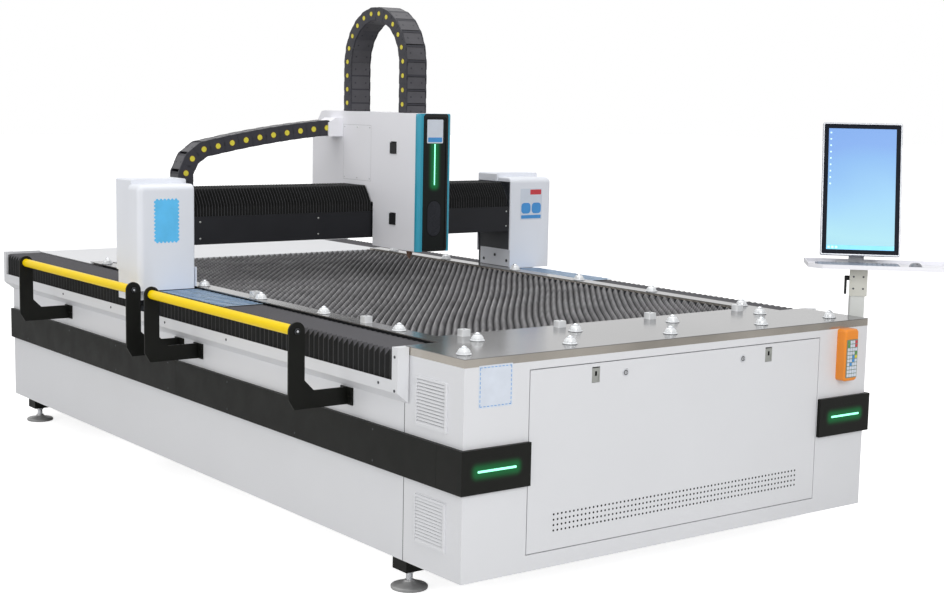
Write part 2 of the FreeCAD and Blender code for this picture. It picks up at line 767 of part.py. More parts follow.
def louvre_vents():
    """Screwed-on vents: a rim with slanting louvres, two on each side of the cabinet."""
    pieces = []
    for name, low in (("upper", "vent_upper"), ("lower", "vent_lower")):
        vent = padded("vent_" + name, "YZ", "-vent_proud", "vent_proud",
                      rectangle("vent_front", low, "vent_front + vent_long", "%s + vent_tall" % low),
                      vent_window(low))
        step = "(vent_tall - 2 * vent_rim) / louvre_count"
        foot = "%s + vent_rim" % low
        louvre = pad(vent, "XZ", "vent_front + vent_rim", "vent_long - 2 * vent_rim", [
            ("-vent_proud + 1", foot),
            ("-vent_proud + 3", foot),
            ("0", "%s + %s * 0.75" % (foot, step)),
            ("-2", "%s + %s * 0.75" % (foot, step)),
        ])
        pattern = vent.newObject("PartDesign::LinearPattern", vent.Label + "_louvres")
        pattern.Originals = [louvre]
        pattern.Direction = (louvre.Profile[0], ["V_Axis"])
        pattern.setExpression("Length", bound("%s * (louvre_count - 1)" % step))
        pattern.setExpression("Occurrences", bound("louvre_count"))
        vent.Tip = pattern
        pieces += [vent, mirrored(vent)]
    node(group("louvre_vents", *pieces))


# ---- front door ---------------------------------------------------------------------------------------

def pin_window(across, up):
    """Square hole that a latch's round pin turns in."""
    play = "(latch_pin + pin_play)"
    return rectangle("%s - %s" % (across, play), "%s - %s" % (up, play), "%s + %s" % (across, play),
                     "%s + %s" % (up, play))


def front_door():
    """Folded door pan, hinged along its lower edge, with holes for two latches and two locks."""
    right = "door_left + door_wide"
    top = "door_low + door_tall"
    door = padded("front_door", "XZ", "0", "return_fold", rectangle("door_left", "door_low", right, top))
    pocket(door, "XZ", "skin", "return_fold",
           rectangle("door_left + skin", "door_low + skin", "%s - skin" % right, "%s - skin" % top))
    for latch in ("latch_left", "latch_right"):
        pocket(door, "XZ", "-1", "skin + 2",
               rectangle(latch, "latch_low", "%s + latch_wide" % latch, "latch_low + latch_tall"))
        pivot = "latch_low + latch_tall - latch_drop"
        for ear in ("%s - latch_ear" % latch, "%s + latch_wide" % latch):
            pad(door, "YZ", ear, "latch_ear",
                rectangle("skin", "%s - 5" % pivot, "skin + latch_pin * 4", "%s + 5" % pivot),
                pin_window("skin + latch_pin * 2", pivot))
    pocket(door, "XZ", "-1", "skin + 2",
           circle("lock_left", "lock_high", "lock_radius"), circle("lock_right", "lock_high", "lock_radius"))
    pocket(door, "YZ", "-1", "bed_width + 2",
           circle("hinge_in", "door_low + hinge_in", "pin_radius + pin_play"))
    node(door)


def door_hinge_pins():
    """Two stub pins that stand in the door's side folds and are held in the folds of the opening."""
    pin = rod("hinge_pin_left", ("door_left - door_gap - skin - 6", "hinge_in", "door_low + hinge_in"),
              "pin_radius", "skin * 2 + door_gap + 12", TO_RIGHT)
    copy = doc.addObject("Part::Mirroring", "hinge_pin_right")
    copy.Source = pin
    copy.Normal = FreeCAD.Vector(1, 0, 0)
    copy.Base = FreeCAD.Vector(sizes.door_left + value_of("door_wide") / 2, 0, 0)
    node(group("door_hinge_pins", pin, copy))


def cam_lock(label, across):
    """Round quarter-turn lock: rim on the door, barrel through it, key slot and cam tongue behind."""
    rim = prism(label + "_rim", (across, "-2", "lock_high"), "lock_radius + 3", 16, "2 - fit / 10", TO_BACK)
    half = "lock_radius * 0.66"
    lock = padded(label + "_barrel", "XZ", "-fit", "skin + 18",
                  rectangle("%s - %s" % (across, half), "lock_high - " + half, "%s + %s" % (across, half),
                            "lock_high + " + half))
    pad(lock, "XZ", "skin + 12", "4",
        rectangle("%s - 8" % across, "lock_high - 8", "%s + 30" % across, "lock_high + 8"))
    slot = block(label + "_slot", ("%s - 1.5" % across, "-3", "lock_high - 6"), ("3", "3", "12"))
    node(cut(label, fuse(label + "_whole", rim, lock), slot))


def latch_paddle(label, across):
    """Flush paddle: a plate in the door's cut-out with a hook behind it, on a pin that the door's ears
    hold."""
    left = "%s + fit" % across
    top = "latch_low + latch_tall"
    paddle = padded(label, "YZ", left, "latch_wide - 2 * fit", [
        ("0", "latch_low + 1.5"),
        ("skin", "latch_low + 1.5"),
        ("skin", "%s - 14" % top),
        ("latch_paddle", "%s - 12" % top),
        ("latch_paddle", "%s - 3" % top),
        ("latch_paddle - 4", "%s - 3" % top),
        ("latch_paddle - 4", "%s - 5" % top),
        ("0", "%s - 5" % top),
    ])
    pocket(paddle, "XZ", "-1", "2.5",
           rectangle("%s + 6" % left, "latch_low + 8", "%s + latch_wide - 7" % left, "latch_low + 30"))
    pad(paddle, "YZ", "%s - latch_ear" % across, "latch_wide + 2 * latch_ear",
        circle("skin + latch_pin * 2", "%s - latch_drop" % top, "latch_pin"))
    node(paddle)


# ---- table --------------------------------------------------------------------------------------------

def worktop_plates():
    """Steel front plate with its folded skirt, and the steel strips along both sides of the well."""
    under = "table_top - top_plate"
    front = padded("front_plate", "XY", under, "top_plate", [
        ("0", "0"),
        ("bed_width", "0"),
        ("bed_width", "cabinet_depth"),
        ("bed_width - strip_outer", "cabinet_depth"),
        ("bed_width - strip_outer", "well_front"),
        ("strip_outer", "well_front"),
        ("strip_outer", "cabinet_depth"),
        ("0", "cabinet_depth"),
    ])
    pad(front, "XY", "table_top - top_skirt", "top_skirt - top_plate", [
        ("0", "0"),
        ("bed_width", "0"),
        ("bed_width", "cabinet_depth"),
        ("bed_width - top_plate", "cabinet_depth"),
        ("bed_width - top_plate", "top_plate"),
        ("top_plate", "top_plate"),
        ("top_plate", "cabinet_depth"),
        ("0", "cabinet_depth"),
    ])
    strip = padded("side_strip", "XZ", "well_front", "well_rear - well_front", [
        ("strip_outer", "table_top"),
        ("strip_outer", under),
        ("well_side - top_plate", under),
        ("well_side - top_plate", "table_top - strip_lip"),
        ("well_side", "table_top - strip_lip"),
        ("well_side", "table_top"),
    ])
    node(group("worktop_plates", front, strip, mirrored(strip)))


def slat_base():
    return sizes.table_top - sizes.slat_drop - sizes.slat_tall


def slat_carriers():
    """Plates under the side strips, standing on the cross beams, with the shelf that the slat ends stand
    on."""
    wall = "well_side - top_plate - 8"
    shelf = "table_top - slat_drop - slat_tall"
    carrier = padded("slat_carrier", "XZ", "well_front", "well_rear - well_front", [
        (wall, "frame_top - 40"),
        ("%s + skin" % wall, "frame_top - 40"),
        ("%s + skin" % wall, "%s - skin" % shelf),
        ("%s + ledge_wide" % wall, "%s - skin" % shelf),
        ("%s + ledge_wide" % wall, shelf),
        ("%s + skin" % wall, shelf),
        ("%s + skin" % wall, "table_top - top_plate"),
        (wall, "table_top - top_plate"),
    ])
    node(group("slat_carriers", carrier, mirrored(carrier)))


def slats():
    """Toothed support slats across the well, standing on their ends."""
    left = sizes.well_side + sizes.fit
    right = sizes.bed_width - left
    base = slat_base()
    tip = base + sizes.slat_tall
    step = (right - left) / sizes.slat_teeth
    outline = [(left, base), (right, base)]
    for tooth in range(int(sizes.slat_teeth)):
        outline.append((right - step * tooth, tip - sizes.tooth_depth))
        outline.append((right - step * (tooth + 0.5), tip))
    outline.append((left, tip - sizes.tooth_depth))
    margin = sizes.slat_pitch / 4
    count = int((value_of("well_rear") - sizes.well_front - 2 * margin - sizes.slat_sheet) // sizes.slat_pitch) + 1
    first = (sizes.well_front + value_of("well_rear") - (count - 1) * sizes.slat_pitch - sizes.slat_sheet) / 2
    plates = []
    for number in range(count):
        place = first + number * sizes.slat_pitch
        face = Part.Face(closed([FreeCAD.Vector(across, place, up) for across, up in outline]))
        plates.append(face.extrude(FreeCAD.Vector(0, sizes.slat_sheet, 0)))
    node(shaped("slats", Part.makeCompound(plates)))


def rear_deck():
    """White cover behind the well, with a fold at its front edge."""
    top = "table_top - deck_drop"
    deck = padded("rear_deck", "YZ", "strip_outer + fit", "bed_width - 2 * (strip_outer + fit)", [
        ("well_rear + fit", "%s - 60" % top),
        ("well_rear + fit + skin", "%s - 60" % top),
        ("well_rear + fit + skin", "%s - skin" % top),
        ("bed_length", "%s - skin" % top),
        ("bed_length", top),
        ("well_rear + fit", top),
    ])
    node(deck)


# Each place: across the table, then back from its front edge.
UNIT_PLACES = [
    ("unit_in", "730"), ("unit_in", "1330"), ("unit_in", "1900"), ("unit_in", "2480"),
    ("unit_in", "well_rear - 140"),
    ("bed_width - unit_in", "well_front + 70"), ("bed_width - unit_in", "1230"),
    ("bed_width - unit_in", "1800"),
    ("bed_width - unit_in", "2360"), ("bed_width - unit_in", "3030"),
    ("bed_width - unit_in", "well_rear - 210"),
    ("70", "unit_row"), ("bed_width * 0.26", "unit_row"), ("bed_width / 2", "unit_row"),
    ("bed_width * 0.74", "unit_row"), ("bed_width - 150", "unit_row"),
    ("bed_width * 0.14", "well_front - 180"), ("bed_width * 0.365", "well_front - 180"),
    ("bed_width * 0.61", "well_front - 180"), ("bed_width * 0.852", "well_front - 180"),
]
STOP_PLACES = [
    ("unit_in + 12", "1000"), ("bed_width * 0.152", "well_front - 52"),
    ("bed_width * 0.374", "well_front - 52"),
    ("bed_width * 0.603", "well_front - 52"), ("bed_width * 0.845", "well_front - 52"),
    ("unit_in + 12", "1980"),
]


def table_fittings():
    """Transfer ball units on the plates, each a flange, a cup and the ball that stands out of the cup, and
    small stops that line a sheet up with the table."""
    rings = [
        (sizes.unit_wide / 2, 0),
        (sizes.unit_wide / 2, sizes.unit_flange - 1),
        (sizes.unit_cup / 2, sizes.unit_flange),
        (sizes.unit_cup * 0.43, sizes.unit_flange + sizes.unit_cup_tall),
        (sizes.ball_radius * 0.4, sizes.unit_flange + sizes.unit_cup_tall + sizes.ball_radius * 0.9),
    ]
    units = []
    for across, back in UNIT_PLACES:
        units.append(stacked(FreeCAD.Vector(value_of(across), value_of(back), sizes.table_top), rings, 8))
    pieces = [shaped("ball_units", Part.makeCompound(units))]
    for number, (across, back) in enumerate(STOP_PLACES):
        pieces.append(block("stop_%d" % number,
                            ("%s - stop_wide / 2" % across, "%s - stop_wide / 2" % back, "table_top"),
                            ("stop_wide", "stop_wide", "stop_tall")))
    node(group("table_fittings", *pieces))


# ---- side channels and bellows ------------------------------------------------------------------------

def channel_covers():
    """Bent covers outside the bellows along both sides, and the tray of the long chain on the right side
    panel."""
    cover = padded("channel_cover", "XZ", "channel_front + fit", "channel_rear - channel_front - 2 * fit", [
        ("0", "channel_foot"),
        ("0", "channel_foot + skin * 1.6"),
        ("-channel_out + skin", "channel_knee + skin * 0.6"),
        ("-channel_out + skin", "channel_rim"),
        ("-channel_out", "channel_rim"),
        ("-channel_out", "channel_knee"),
    ])
    pad(cover, "XZ", "channel_front + fit", "channel_rear - channel_front - 2 * fit",
                rectangle("0", "channel_foot", "skin", "channel_rim - 30"))
    low = "side_low - side_tall / 2 - skin"
    out = "bed_width + side_out + side_wide + 6"
    tray = padded("side_tray", "XZ", "side_fixed - 300", "channel_rear - side_fixed + 200", [
        ("bed_width", low),
        (out, low),
        (out, "%s + 30" % low),
        ("%s - skin" % out, "%s + 30" % low),
        ("%s - skin" % out, "%s + skin" % low),
        ("bed_width + skin", "%s + skin" % low),
        ("bed_width + skin", "channel_foot - 30"),
        ("bed_width", "channel_foot - 30"),
    ])
    node(group("channel_covers", cover, mirrored(cover), tray))


def end_caps():
    """Caps that close the channels at both ends and hold the bellows."""
    front = padded("front_cap", "XZ", "cabinet_depth + panel_seam",
                   "channel_front - cabinet_depth - panel_seam", [
        ("-channel_out", "channel_knee"),
        ("0", "channel_foot"),
        ("frame_inset - fit", "channel_foot"),
        ("frame_inset - fit", "frame_top + fit"),
        ("bellows_in", "frame_top + fit"),
        ("bellows_in", "cap_top"),
        ("-channel_out", "cap_top"),
    ])
    pad(front, "XZ", "cap_front", "channel_front - cap_front", [
        ("-channel_out", "channel_knee"),
        ("-skin", "channel_foot + 2"),
        ("-skin", "cap_top"),
        ("-channel_out", "cap_top"),
    ])
    rear = padded("rear_cap", "XZ", "channel_rear", "9", [
        ("-channel_out", "channel_knee"),
        ("0", "channel_foot"),
        ("frame_inset - fit", "channel_foot"),
        ("frame_inset - fit", "frame_top + fit"),
        ("bellows_in", "frame_top + fit"),
        ("bellows_in", "cap_top"),
        ("-channel_out", "cap_top"),
    ])
    pad(rear, "XZ", "channel_rear", "bed_length - channel_rear", [
        ("-channel_out", "channel_knee"),
        ("-skin", "channel_foot + 2"),
        ("-skin", "cap_top"),
        ("-channel_out", "cap_top"),
    ])
    node(group("end_caps", front, rear, mirrored(front), mirrored(rear)))


def side_bellows(label, start, stop):
    """Folded covers over the rails, left and right. A folded outline seen from the side and one seen from
    above meet at the upper outer corner."""
    out = -sizes.bellows_out
    inner = sizes.bellows_in
    low = sizes.bellows_low
    top = sizes.bellows_top
    deep = sizes.pleat_depth
    upper = [FreeCAD.Vector(out, back, level)
             for back, level in zigzag(start, stop, sizes.pleat_pitch, top, top - deep)]
    upper += [FreeCAD.Vector(out, stop, low), FreeCAD.Vector(out, start, low)]
    outer = [FreeCAD.Vector(level, back, low)
             for back, level in zigzag(start, stop, sizes.pleat_pitch, out, out + deep)]
    outer += [FreeCAD.Vector(inner, stop, low), FreeCAD.Vector(inner, start, low)]
    folds = slab(upper, FreeCAD.Vector(inner - out, 0, 0)).common(
        slab(outer, FreeCAD.Vector(0, 0, top - low)))
    left = shaped(label + "_left", folds)
    node(group(label, left, mirrored(left)))


def scale_plates():
    """Overlapping steel scales on the bellows in front of the gantry, one for each fold that they ride
    on."""
    low = sizes.bellows_top + sizes.fit
    reach = sizes.scale_pitch * sizes.scale_lap
    thick = sizes.scale_sheet
    rise = (thick + sizes.fit) * sizes.scale_lap
    stop = sizes.gantry_front - 2
    count = int((stop - value_of("scale_front") - reach) // sizes.scale_pitch) + 1
    plates = []
    for number in range(count):
        back = stop - reach - number * sizes.scale_pitch
        face = Part.Face(closed([
            FreeCAD.Vector(-sizes.bellows_out, back, low + rise),
            FreeCAD.Vector(-sizes.bellows_out, back + reach, low),
            FreeCAD.Vector(-sizes.bellows_out, back + reach, low + thick),
            FreeCAD.Vector(-sizes.bellows_out, back, low + rise + thick),
        ]))
        plates.append(face.extrude(FreeCAD.Vector(sizes.bellows_in + sizes.bellows_out, 0, 0)))
    left = shaped("scale_plates_left", Part.makeCompound(plates))
    node(group("scale_plates", left, mirrored(left)))


# ---- handrails ----------------------------------------------------------------------------------------

RAIL_SPANS = [("near", 805, 2153), ("far", 2345, 3733)]


def handrails():
    """Two tube rails outside the left side, each between two flat brackets bolted to the side panel."""
    out = "-rail_out - strap_wide / 2"
    inn = "-rail_out + strap_wide / 2"
    tubes = []
    brackets = []
    bolts = []
    for name, start, stop in RAIL_SPANS:
        first = "%g + strap_sheet" % start
        tubes.append(rod("tube_" + name, ("-rail_out", first, "rail_high"), "tube_radius",
                         "%g - %g - 2 * strap_sheet" % (stop, start), TO_BACK))
        for end, place, bolt_at, turn in (
            ("front", "%g" % start, "%g - fit - bolt_tall" % start, TO_BACK),
            ("rear", "%g - strap_sheet" % stop, "%g + fit" % stop, TO_BACK),
        ):
            plate = padded("bracket_%s_%s" % (name, end), "XZ", place, "strap_sheet", [
                (out, "arm_low + gusset"),
                ("%s + gusset * 0.6" % out, "arm_low"),
                ("-8", "arm_low"),
                ("-8", "arm_low + arm_tall"),
                ("%s + gusset" % inn, "arm_low + arm_tall"),
                (inn, "arm_low + arm_tall + gusset"),
                (inn, "rail_high"),
                (out, "rail_high"),
            ])
            pad(plate, "XZ", place, "strap_sheet", circle("-rail_out", "rail_high", "strap_wide / 2"))
            pad(plate, "YZ", "-8", "8 - fit",
                rectangle("%s + strap_sheet / 2 - flange_wide / 2" % place, "arm_low",
                          "%s + strap_sheet / 2 + flange_wide / 2" % place, "arm_low + arm_tall"))
            brackets.append(plate)
            bolts.append(prism("tube_bolt_%s_%s" % (name, end), ("-rail_out", bolt_at, "rail_high"),
                               "bolt_wide * 0.7", 6, "bolt_tall", turn))
            for side in (-1, 1):
                bolts.append(prism("flange_bolt_%s_%s_%d" % (name, end, side),
                                   ("-8 - fit",
                                    "%s + strap_sheet / 2 + %d * flange_wide * 0.33" % (place, side),
                                    "arm_low + arm_tall / 2"), "bolt_wide * 0.58", 6, "bolt_tall", TO_LEFT))
    node(group("handrail_tubes", *tubes))
    node(group("handrail_brackets", *brackets, *bolts))


# ---- gantry -------------------------------------------------------------------------------------------

def gantry_rear():
    return "(gantry_front + cover_deep + box_deep)"


def gantry_beam():
    """Closed box beam across the bed, standing on a post at each end, and the tray on its back that carries
    the lower run of the cross chain."""
    beam = padded("beam_box", "YZ", "beam_in", "bed_width - 2 * beam_in",
                  rectangle("beam_front", "beam_low", "beam_front + beam_deep", "beam_low + beam_tall"))
    low = "chain_bend_z - chain_bend - chain_tall / 2 - skin"
    back = "beam_front + beam_deep"
    tray = padded("chain_tray", "YZ", "cover_in + 20", "chain_fixed - cover_in + 40", [
        (back, "beam_low + 20"),
        ("%s + skin" % back, "beam_low + 20"),
        ("%s + skin" % back, low),
        ("chain_front + chain_wide + 12", low),
        ("chain_front + chain_wide + 12", "%s + 30" % low),
        ("chain_front + chain_wide + 9", "%s + 30" % low),
        ("chain_front + chain_wide + 9", "%s + skin" % low),
        (back, "%s + skin" % low),
    ])
    node(group("gantry_beam", beam, tray))


def beam_cover_plate():
    """Black sheet on the front of the beam, with a fold under it."""
    low = "beam_low"
    node(padded("beam_cover_plate", "YZ", "cover_in + 6", "bed_width - 2 * (cover_in + 6)", [
        ("plate_front", low),
        ("beam_front - fit", low),
        ("beam_front - fit", "%s + plate_tall" % low),
        ("plate_front", "%s + plate_tall" % low),
    ]))


def beam_rails():
    """Two linear rails on top of the beam."""
    top = "beam_low + beam_tall"
    bars = []
    for name, back in (("front", "cross_rail_front"), ("rear", "cross_rail_rear")):
        bars.append(block("beam_rail_" + name,
                          ("cover_in + 30", "beam_front + %s - cross_rail_wide / 2" % back, top),
                          ("bed_width - 2 * (cover_in + 30)", "cross_rail_wide", "cross_rail_tall")))
    node(group("beam_rails", *bars))


def gantry_ends():
    """Shoe plate over the bearing blocks, end plates that pull the bellows, a post up to the beam and two
    arms out to the covers, welded in one, left and right."""
    front = "beam_front"
    rear = "beam_front + beam_deep"
    inner = "frame_inset + frame_wide"
    end = padded("gantry_end", "XY", "shoe_low", "shoe_tall",
                 rectangle("frame_inset - 24", "gantry_front + end_sheet", inner,
                           "%s - end_sheet" % gantry_rear()))
    pad(end, "XY", "shoe_low + shoe_tall", "beam_low - shoe_low - shoe_tall",
        rectangle("%s - post_wide" % inner, front, inner, rear))
    for place in ("gantry_front", "%s - end_sheet" % gantry_rear()):
        pad(end, "XZ", place, "end_sheet", rectangle("-bellows_out", "shoe_low", inner, "bellows_top"))
    pad(end, "XZ", "gantry_front + cover_deep - arm_gap - arm_wide", "arm_wide",
        rectangle("-cover_out + skin", "arm_level", "%s - post_wide" % inner, "arm_level + arm_wide"))
    pad(end, "XZ", "gantry_front + cover_deep + arm_gap", "arm_wide",
        rectangle("-box_out + skin", "arm_level", "%s - post_wide" % inner, "arm_level + arm_wide"))
    pocket(end, "XY", "shoe_low - 1", "shoe_tall + 2",
           circle("rack_in - fit - pinion_radius", "gantry_front + cover_deep", "shaft_radius + 1"))
    rear_sheet = "%s - end_sheet" % gantry_rear()
    hanger = padded("chain_hanger", "XZ", rear_sheet, "end_sheet", [
        ("bed_width + bellows_out - 5", "channel_rim + 6"),
        ("bed_width + side_out - 2", "channel_rim + 6"),
        ("bed_width + side_out - 2", "side_low + 2 * side_bend - side_tall"),
        ("bed_width + side_out + side_wide + 2", "side_low + 2 * side_bend - side_tall"),
        ("bed_width + side_out + side_wide + 2", "apron_low - 6"),
        ("bed_width + bellows_out - 5", "apron_low - 6"),
    ])
    node(group("gantry_ends", end, fuse("gantry_end_right_whole", mirrored(end), hanger)))


def front_cover():
    """Rounded front cover of an end housing: open at the back, at the bottom and towards the beam."""
    near = 0.5

    def form(label, kind, grow, front, deep, low, size, inner_size):
        body = padded(label, "XZ", front, deep,
                      rectangle("-cover_out + %s" % grow, low, "cover_in - %s" % grow,
                                "cover_top - %s" % grow))
        y_front = value_of(front)
        x_out = value_of("-cover_out + %s" % grow)
        x_in = value_of("cover_in - %s" % grow)
        z_top = value_of("cover_top - %s" % grow)
        z_low = value_of(low)
        dress_edges(body, kind, size, lambda middle, way:
                    (abs(middle.y - y_front) < near and abs(middle.x - x_in) > near and middle.z > z_low + near)
                    or (abs(middle.z - z_top) < near and abs(middle.x - x_out) < near))
        dress_edges(body, kind, inner_size, lambda middle, way:
                    abs(middle.x - x_in) < near and middle.z > z_low + near
                    and middle.y < y_front + value_of(deep) - near)
        return body

    outside = form("front_cover_outside", "Fillet", "0", "gantry_front", "cover_deep - fit", "cover_low",
                   "cover_round", "cover_edge")
    core = form("front_cover_core", "Chamfer", "skin", "gantry_front + skin", "cover_deep", "cover_low - 1",
                "cover_round * core_bevel", "cover_edge * core_bevel")
    window = block("front_cover_window",
                   ("cover_in - skin - 6", "gantry_front + cover_edge", "cover_low - 1"),
                   ("skin + 7", "cover_deep", "lip_low - cover_low + 1"))
    return cut("front_cover", outside, fuse("front_cover_inside", core, window))


def rear_cover():
    """Taller rear cover of an end housing, open towards the front cover and the beam, with a narrower apron
    that hangs down outside the bellows."""
    near = 0.5
    seam = "gantry_front + cover_deep"
    inner = "cover_in + 12"

    def form(label, kind, grow, front, deep, low, size):
        body = padded(label, "XZ", front, deep,
                      rectangle("-box_out + %s" % grow, low, "%s - %s" % (inner, grow),
                                "box_top - %s" % grow))
        y_front = value_of(front)
        y_rear = y_front + value_of(deep)
        z_top = value_of("box_top - %s" % grow)
        dress_edges(body, kind, size, lambda middle, way:
                    (abs(middle.z - z_top) < near and middle.y > y_front + near)
                    or (abs(middle.y - y_rear) < near and abs(way.z) > 0.9))
        return body

    outside = form("rear_cover_outside", "Chamfer", "0", seam, "box_deep", "box_low", "box_round")
    core = form("rear_cover_core", "Chamfer", "skin", "%s + skin" % seam, "box_deep - 2 * skin",
                "box_low + skin",
                "box_round * core_bevel")
    mouth = block("rear_cover_mouth", ("-box_out + mouth_rim", "%s - 1" % seam, "box_low - 1"),
                  ("box_out - mouth_rim + %s + 1" % inner, "skin + 2", "lip_low - box_low + 1"))
    floor = block("rear_cover_floor", ("-bellows_out - 12", "%s - 1" % seam, "box_low - 1"),
                  ("bellows_out + 13 + %s" % inner, "box_deep + 1 - skin", "skin + 2"))
    window = block("rear_cover_window", ("%s - skin - 1" % inner, "%s - 1" % seam, "box_low - 1"),
                   ("skin + 2", "box_deep - skin - 6", "lip_low - box_low + 1"))
    box = cut("rear_cover_box", outside, fuse("rear_cover_inside", core, mouth, floor, window))
    edge = "-bellows_out - 12"
    apron = padded("rear_cover_apron", "XY", "apron_low", "box_low + 1 - apron_low", [
        ("-apron_out", "%s + 6" % seam),
        (edge, "%s + 6" % seam),
        (edge, "%s + 6 + skin" % seam),
        ("-apron_out + skin", "%s + 6 + skin" % seam),
        ("-apron_out + skin", "%s - 6 - skin" % gantry_rear()),
        (edge, "%s - 6 - skin" % gantry_rear()),
        (edge, "%s - 6" % gantry_rear()),
        ("-apron_out", "%s - 6" % gantry_rear()),
    ])
    return fuse("rear_cover", box, apron)


def gantry_covers():
    """Sheet covers of both end housings and the white foot plates on their inner sides."""
    plate = block("foot_plate", ("frame_inset + frame_wide", "gantry_front - 10", "cover_low + 10"),
                  ("skin", "beam_deep + 3", "98"))
    pieces = []
    for piece in (front_cover(), rear_cover(), plate):
        pieces += [piece, mirrored(piece)]
    node(group("gantry_covers", *pieces))


def bearing_blocks():
    """Blocks that run on the side rails, two under each shoe plate."""
    pieces = []
    gap = sizes.fit
    for name, back in (("front", "beam_front + 8"), ("rear", "beam_front + beam_deep - block_long - 8")):
        bearing = padded("bearing_" + name, "XZ", back, "block_long", [
            ("rail_in - block_wide / 2", "frame_top + 8"),
            ("rail_in - rail_wide / 2 - fit", "frame_top + 8"),
            ("rail_in - rail_wide / 2 - fit", "frame_top + rail_tall + fit"),
            ("rail_in + rail_wide / 2 + fit", "frame_top + rail_tall + fit"),
            ("rail_in + rail_wide / 2 + fit", "frame_top + 8"),
            ("rail_in + block_wide / 2", "frame_top + 8"),
            ("rail_in + block_wide / 2", "shoe_low"),
            ("rail_in - block_wide / 2", "shoe_low"),
        ])
        pieces += [bearing, mirrored(bearing)]
    node(group("bearing_blocks", *pieces))


def drives():
    """Gear motors on the shoe plates and the pinions on their shafts, which run on the racks."""
    across = "rack_in - fit - pinion_radius"
    back = "gantry_front + cover_deep"
    floor = "shoe_low + shoe_tall"
    motor = padded("motor", "XY", floor, "motor_tall",
                   rectangle("%s - motor_wide / 2" % across, "%s - motor_wide / 2" % back,
                             "%s + motor_wide / 2" % across, "%s + motor_wide / 2" % back))
    pad(motor, "XY", "%s + motor_tall" % floor, "25",
        rectangle("%s - motor_wide / 3" % across, "%s - motor_wide / 3" % back,
                  "%s + motor_wide / 3" % across, "%s + motor_wide / 3" % back))
    node(group("drive_motors", motor, mirrored(motor)))
    gear = prism("pinion_gear", (across, back, "frame_top + 3"), "pinion_radius", 20, "pinion_tall")
    shaft = prism("pinion_shaft", (across, back, "frame_top + 3"), "shaft_radius", 12,
                  "%s - frame_top - 3 - fit" % floor)
    pinion = fuse("drive_pinion", gear, shaft)
    node(group("pinion_left", pinion))
    node(group("pinion_right", mirrored(pinion)))


def beam_bellows():
    """Folded covers over the beam's rails, left and right of the carriage, with a bevel at the upper
    front."""
    front = value_of("plate_front + fold_gap")
    rear = value_of("beam_front + beam_deep")
    low = sizes.fold_low
    top = sizes.fold_top
    wall = sizes.fold_wall
    deep = sizes.fold_depth

    def covered(start, stop):
        long = FreeCAD.Vector(stop - start, 0, 0)
        faces = [FreeCAD.Vector(across, back, low) for across, back in
                 zigzag(start, stop, sizes.fold_pitch, front, front + deep)]
        faces += [FreeCAD.Vector(across, back, low) for across, back in
                  reversed(zigzag(start, stop, sizes.fold_pitch, rear, rear - deep))]
        crest = [FreeCAD.Vector(across, front, level) for across, level in
                 zigzag(start, stop, sizes.fold_pitch, top, top - deep)]
        crest += [FreeCAD.Vector(stop, front, low), FreeCAD.Vector(start, front, low)]
        section = slab([FreeCAD.Vector(start, back, level) for back, level in [
            (front, low), (front, top - sizes.fold_bevel), (front + sizes.fold_bevel * 0.7, top),
            (rear, top),
            (rear, low)]], long)
        tunnel = slab([FreeCAD.Vector(start, back, level) for back, level in [
            (front + wall, low), (front + wall, top - wall), (rear - wall, top - wall), (rear - wall, low)]],
                      long)
        whole = slab(faces, FreeCAD.Vector(0, 0, top - low)).common(
            slab(crest, FreeCAD.Vector(0, rear - front, 0)))
        return whole.common(section).cut(tunnel)

    left = covered(value_of("cover_in + 12 + fit"), value_of("head_left - fit"))
    right = covered(value_of("head_left + head_wide + fit"), value_of("bed_width - cover_in - 12 - fit"))
    node(group("beam_bellows", shaped("beam_bellows_left", left), shaped("beam_bellows_right", right)))


# ---- energy chains ------------------------------------------------------------------------------------

def chain_links(path, pitch, tall, wide, sideways):
    """Links of an energy chain, one between each two pivots along a path in a plane."""
    count = max(2, round(path.Length / pitch))
    pivots = path.discretize(count + 1)
    links = []
    for start, end in zip(pivots, pivots[1:]):
        along = (end - start).normalize()
        up = sideways.cross(along).normalize()
        half = tall / 2
        nose = tall * 0.26
        gap = sizes.fit / 2
        outline = [
            start + along * gap + up * (half - nose),
            start + along * nose + up * half,
            end - along * gap + up * half,
            end - along * gap - up * half,
            start + along * nose - up * half,
            start + along * gap - up * (half - nose),
        ]
        links.append(Part.Face(closed(outline)).extrude(sideways * wide))
    return Part.makeCompound(links)


def cross_chain():
    """Chain from the tray behind the beam over its bend to the carriage."""
    y_front = value_of("chain_front")
    radius = sizes.chain_bend
    centre = FreeCAD.Vector(sizes.chain_bend_x, y_front, sizes.chain_bend_z)
    start = FreeCAD.Vector(sizes.head_left - sizes.chain_holder - sizes.chain_tilt, y_front,
                           sizes.chain_start)
    top = centre + FreeCAD.Vector(0, 0, radius)
    crown = (start + top) * 0.5 + FreeCAD.Vector(0, 0, 10)
    left = centre - FreeCAD.Vector(radius, 0, 0)
    bottom = centre - FreeCAD.Vector(0, 0, radius)
    fixed = FreeCAD.Vector(sizes.chain_fixed, y_front, bottom.z)
    path = Part.Wire([
        Part.Arc(start, crown, top).toShape(),
        Part.Arc(top, left, bottom).toShape(),
        Part.LineSegment(bottom, fixed).toShape(),
    ])
    node(shaped("cross_chain", chain_links(path, sizes.chain_pitch, sizes.chain_tall, sizes.chain_wide,
                                           FreeCAD.Vector(0, 1, 0))))


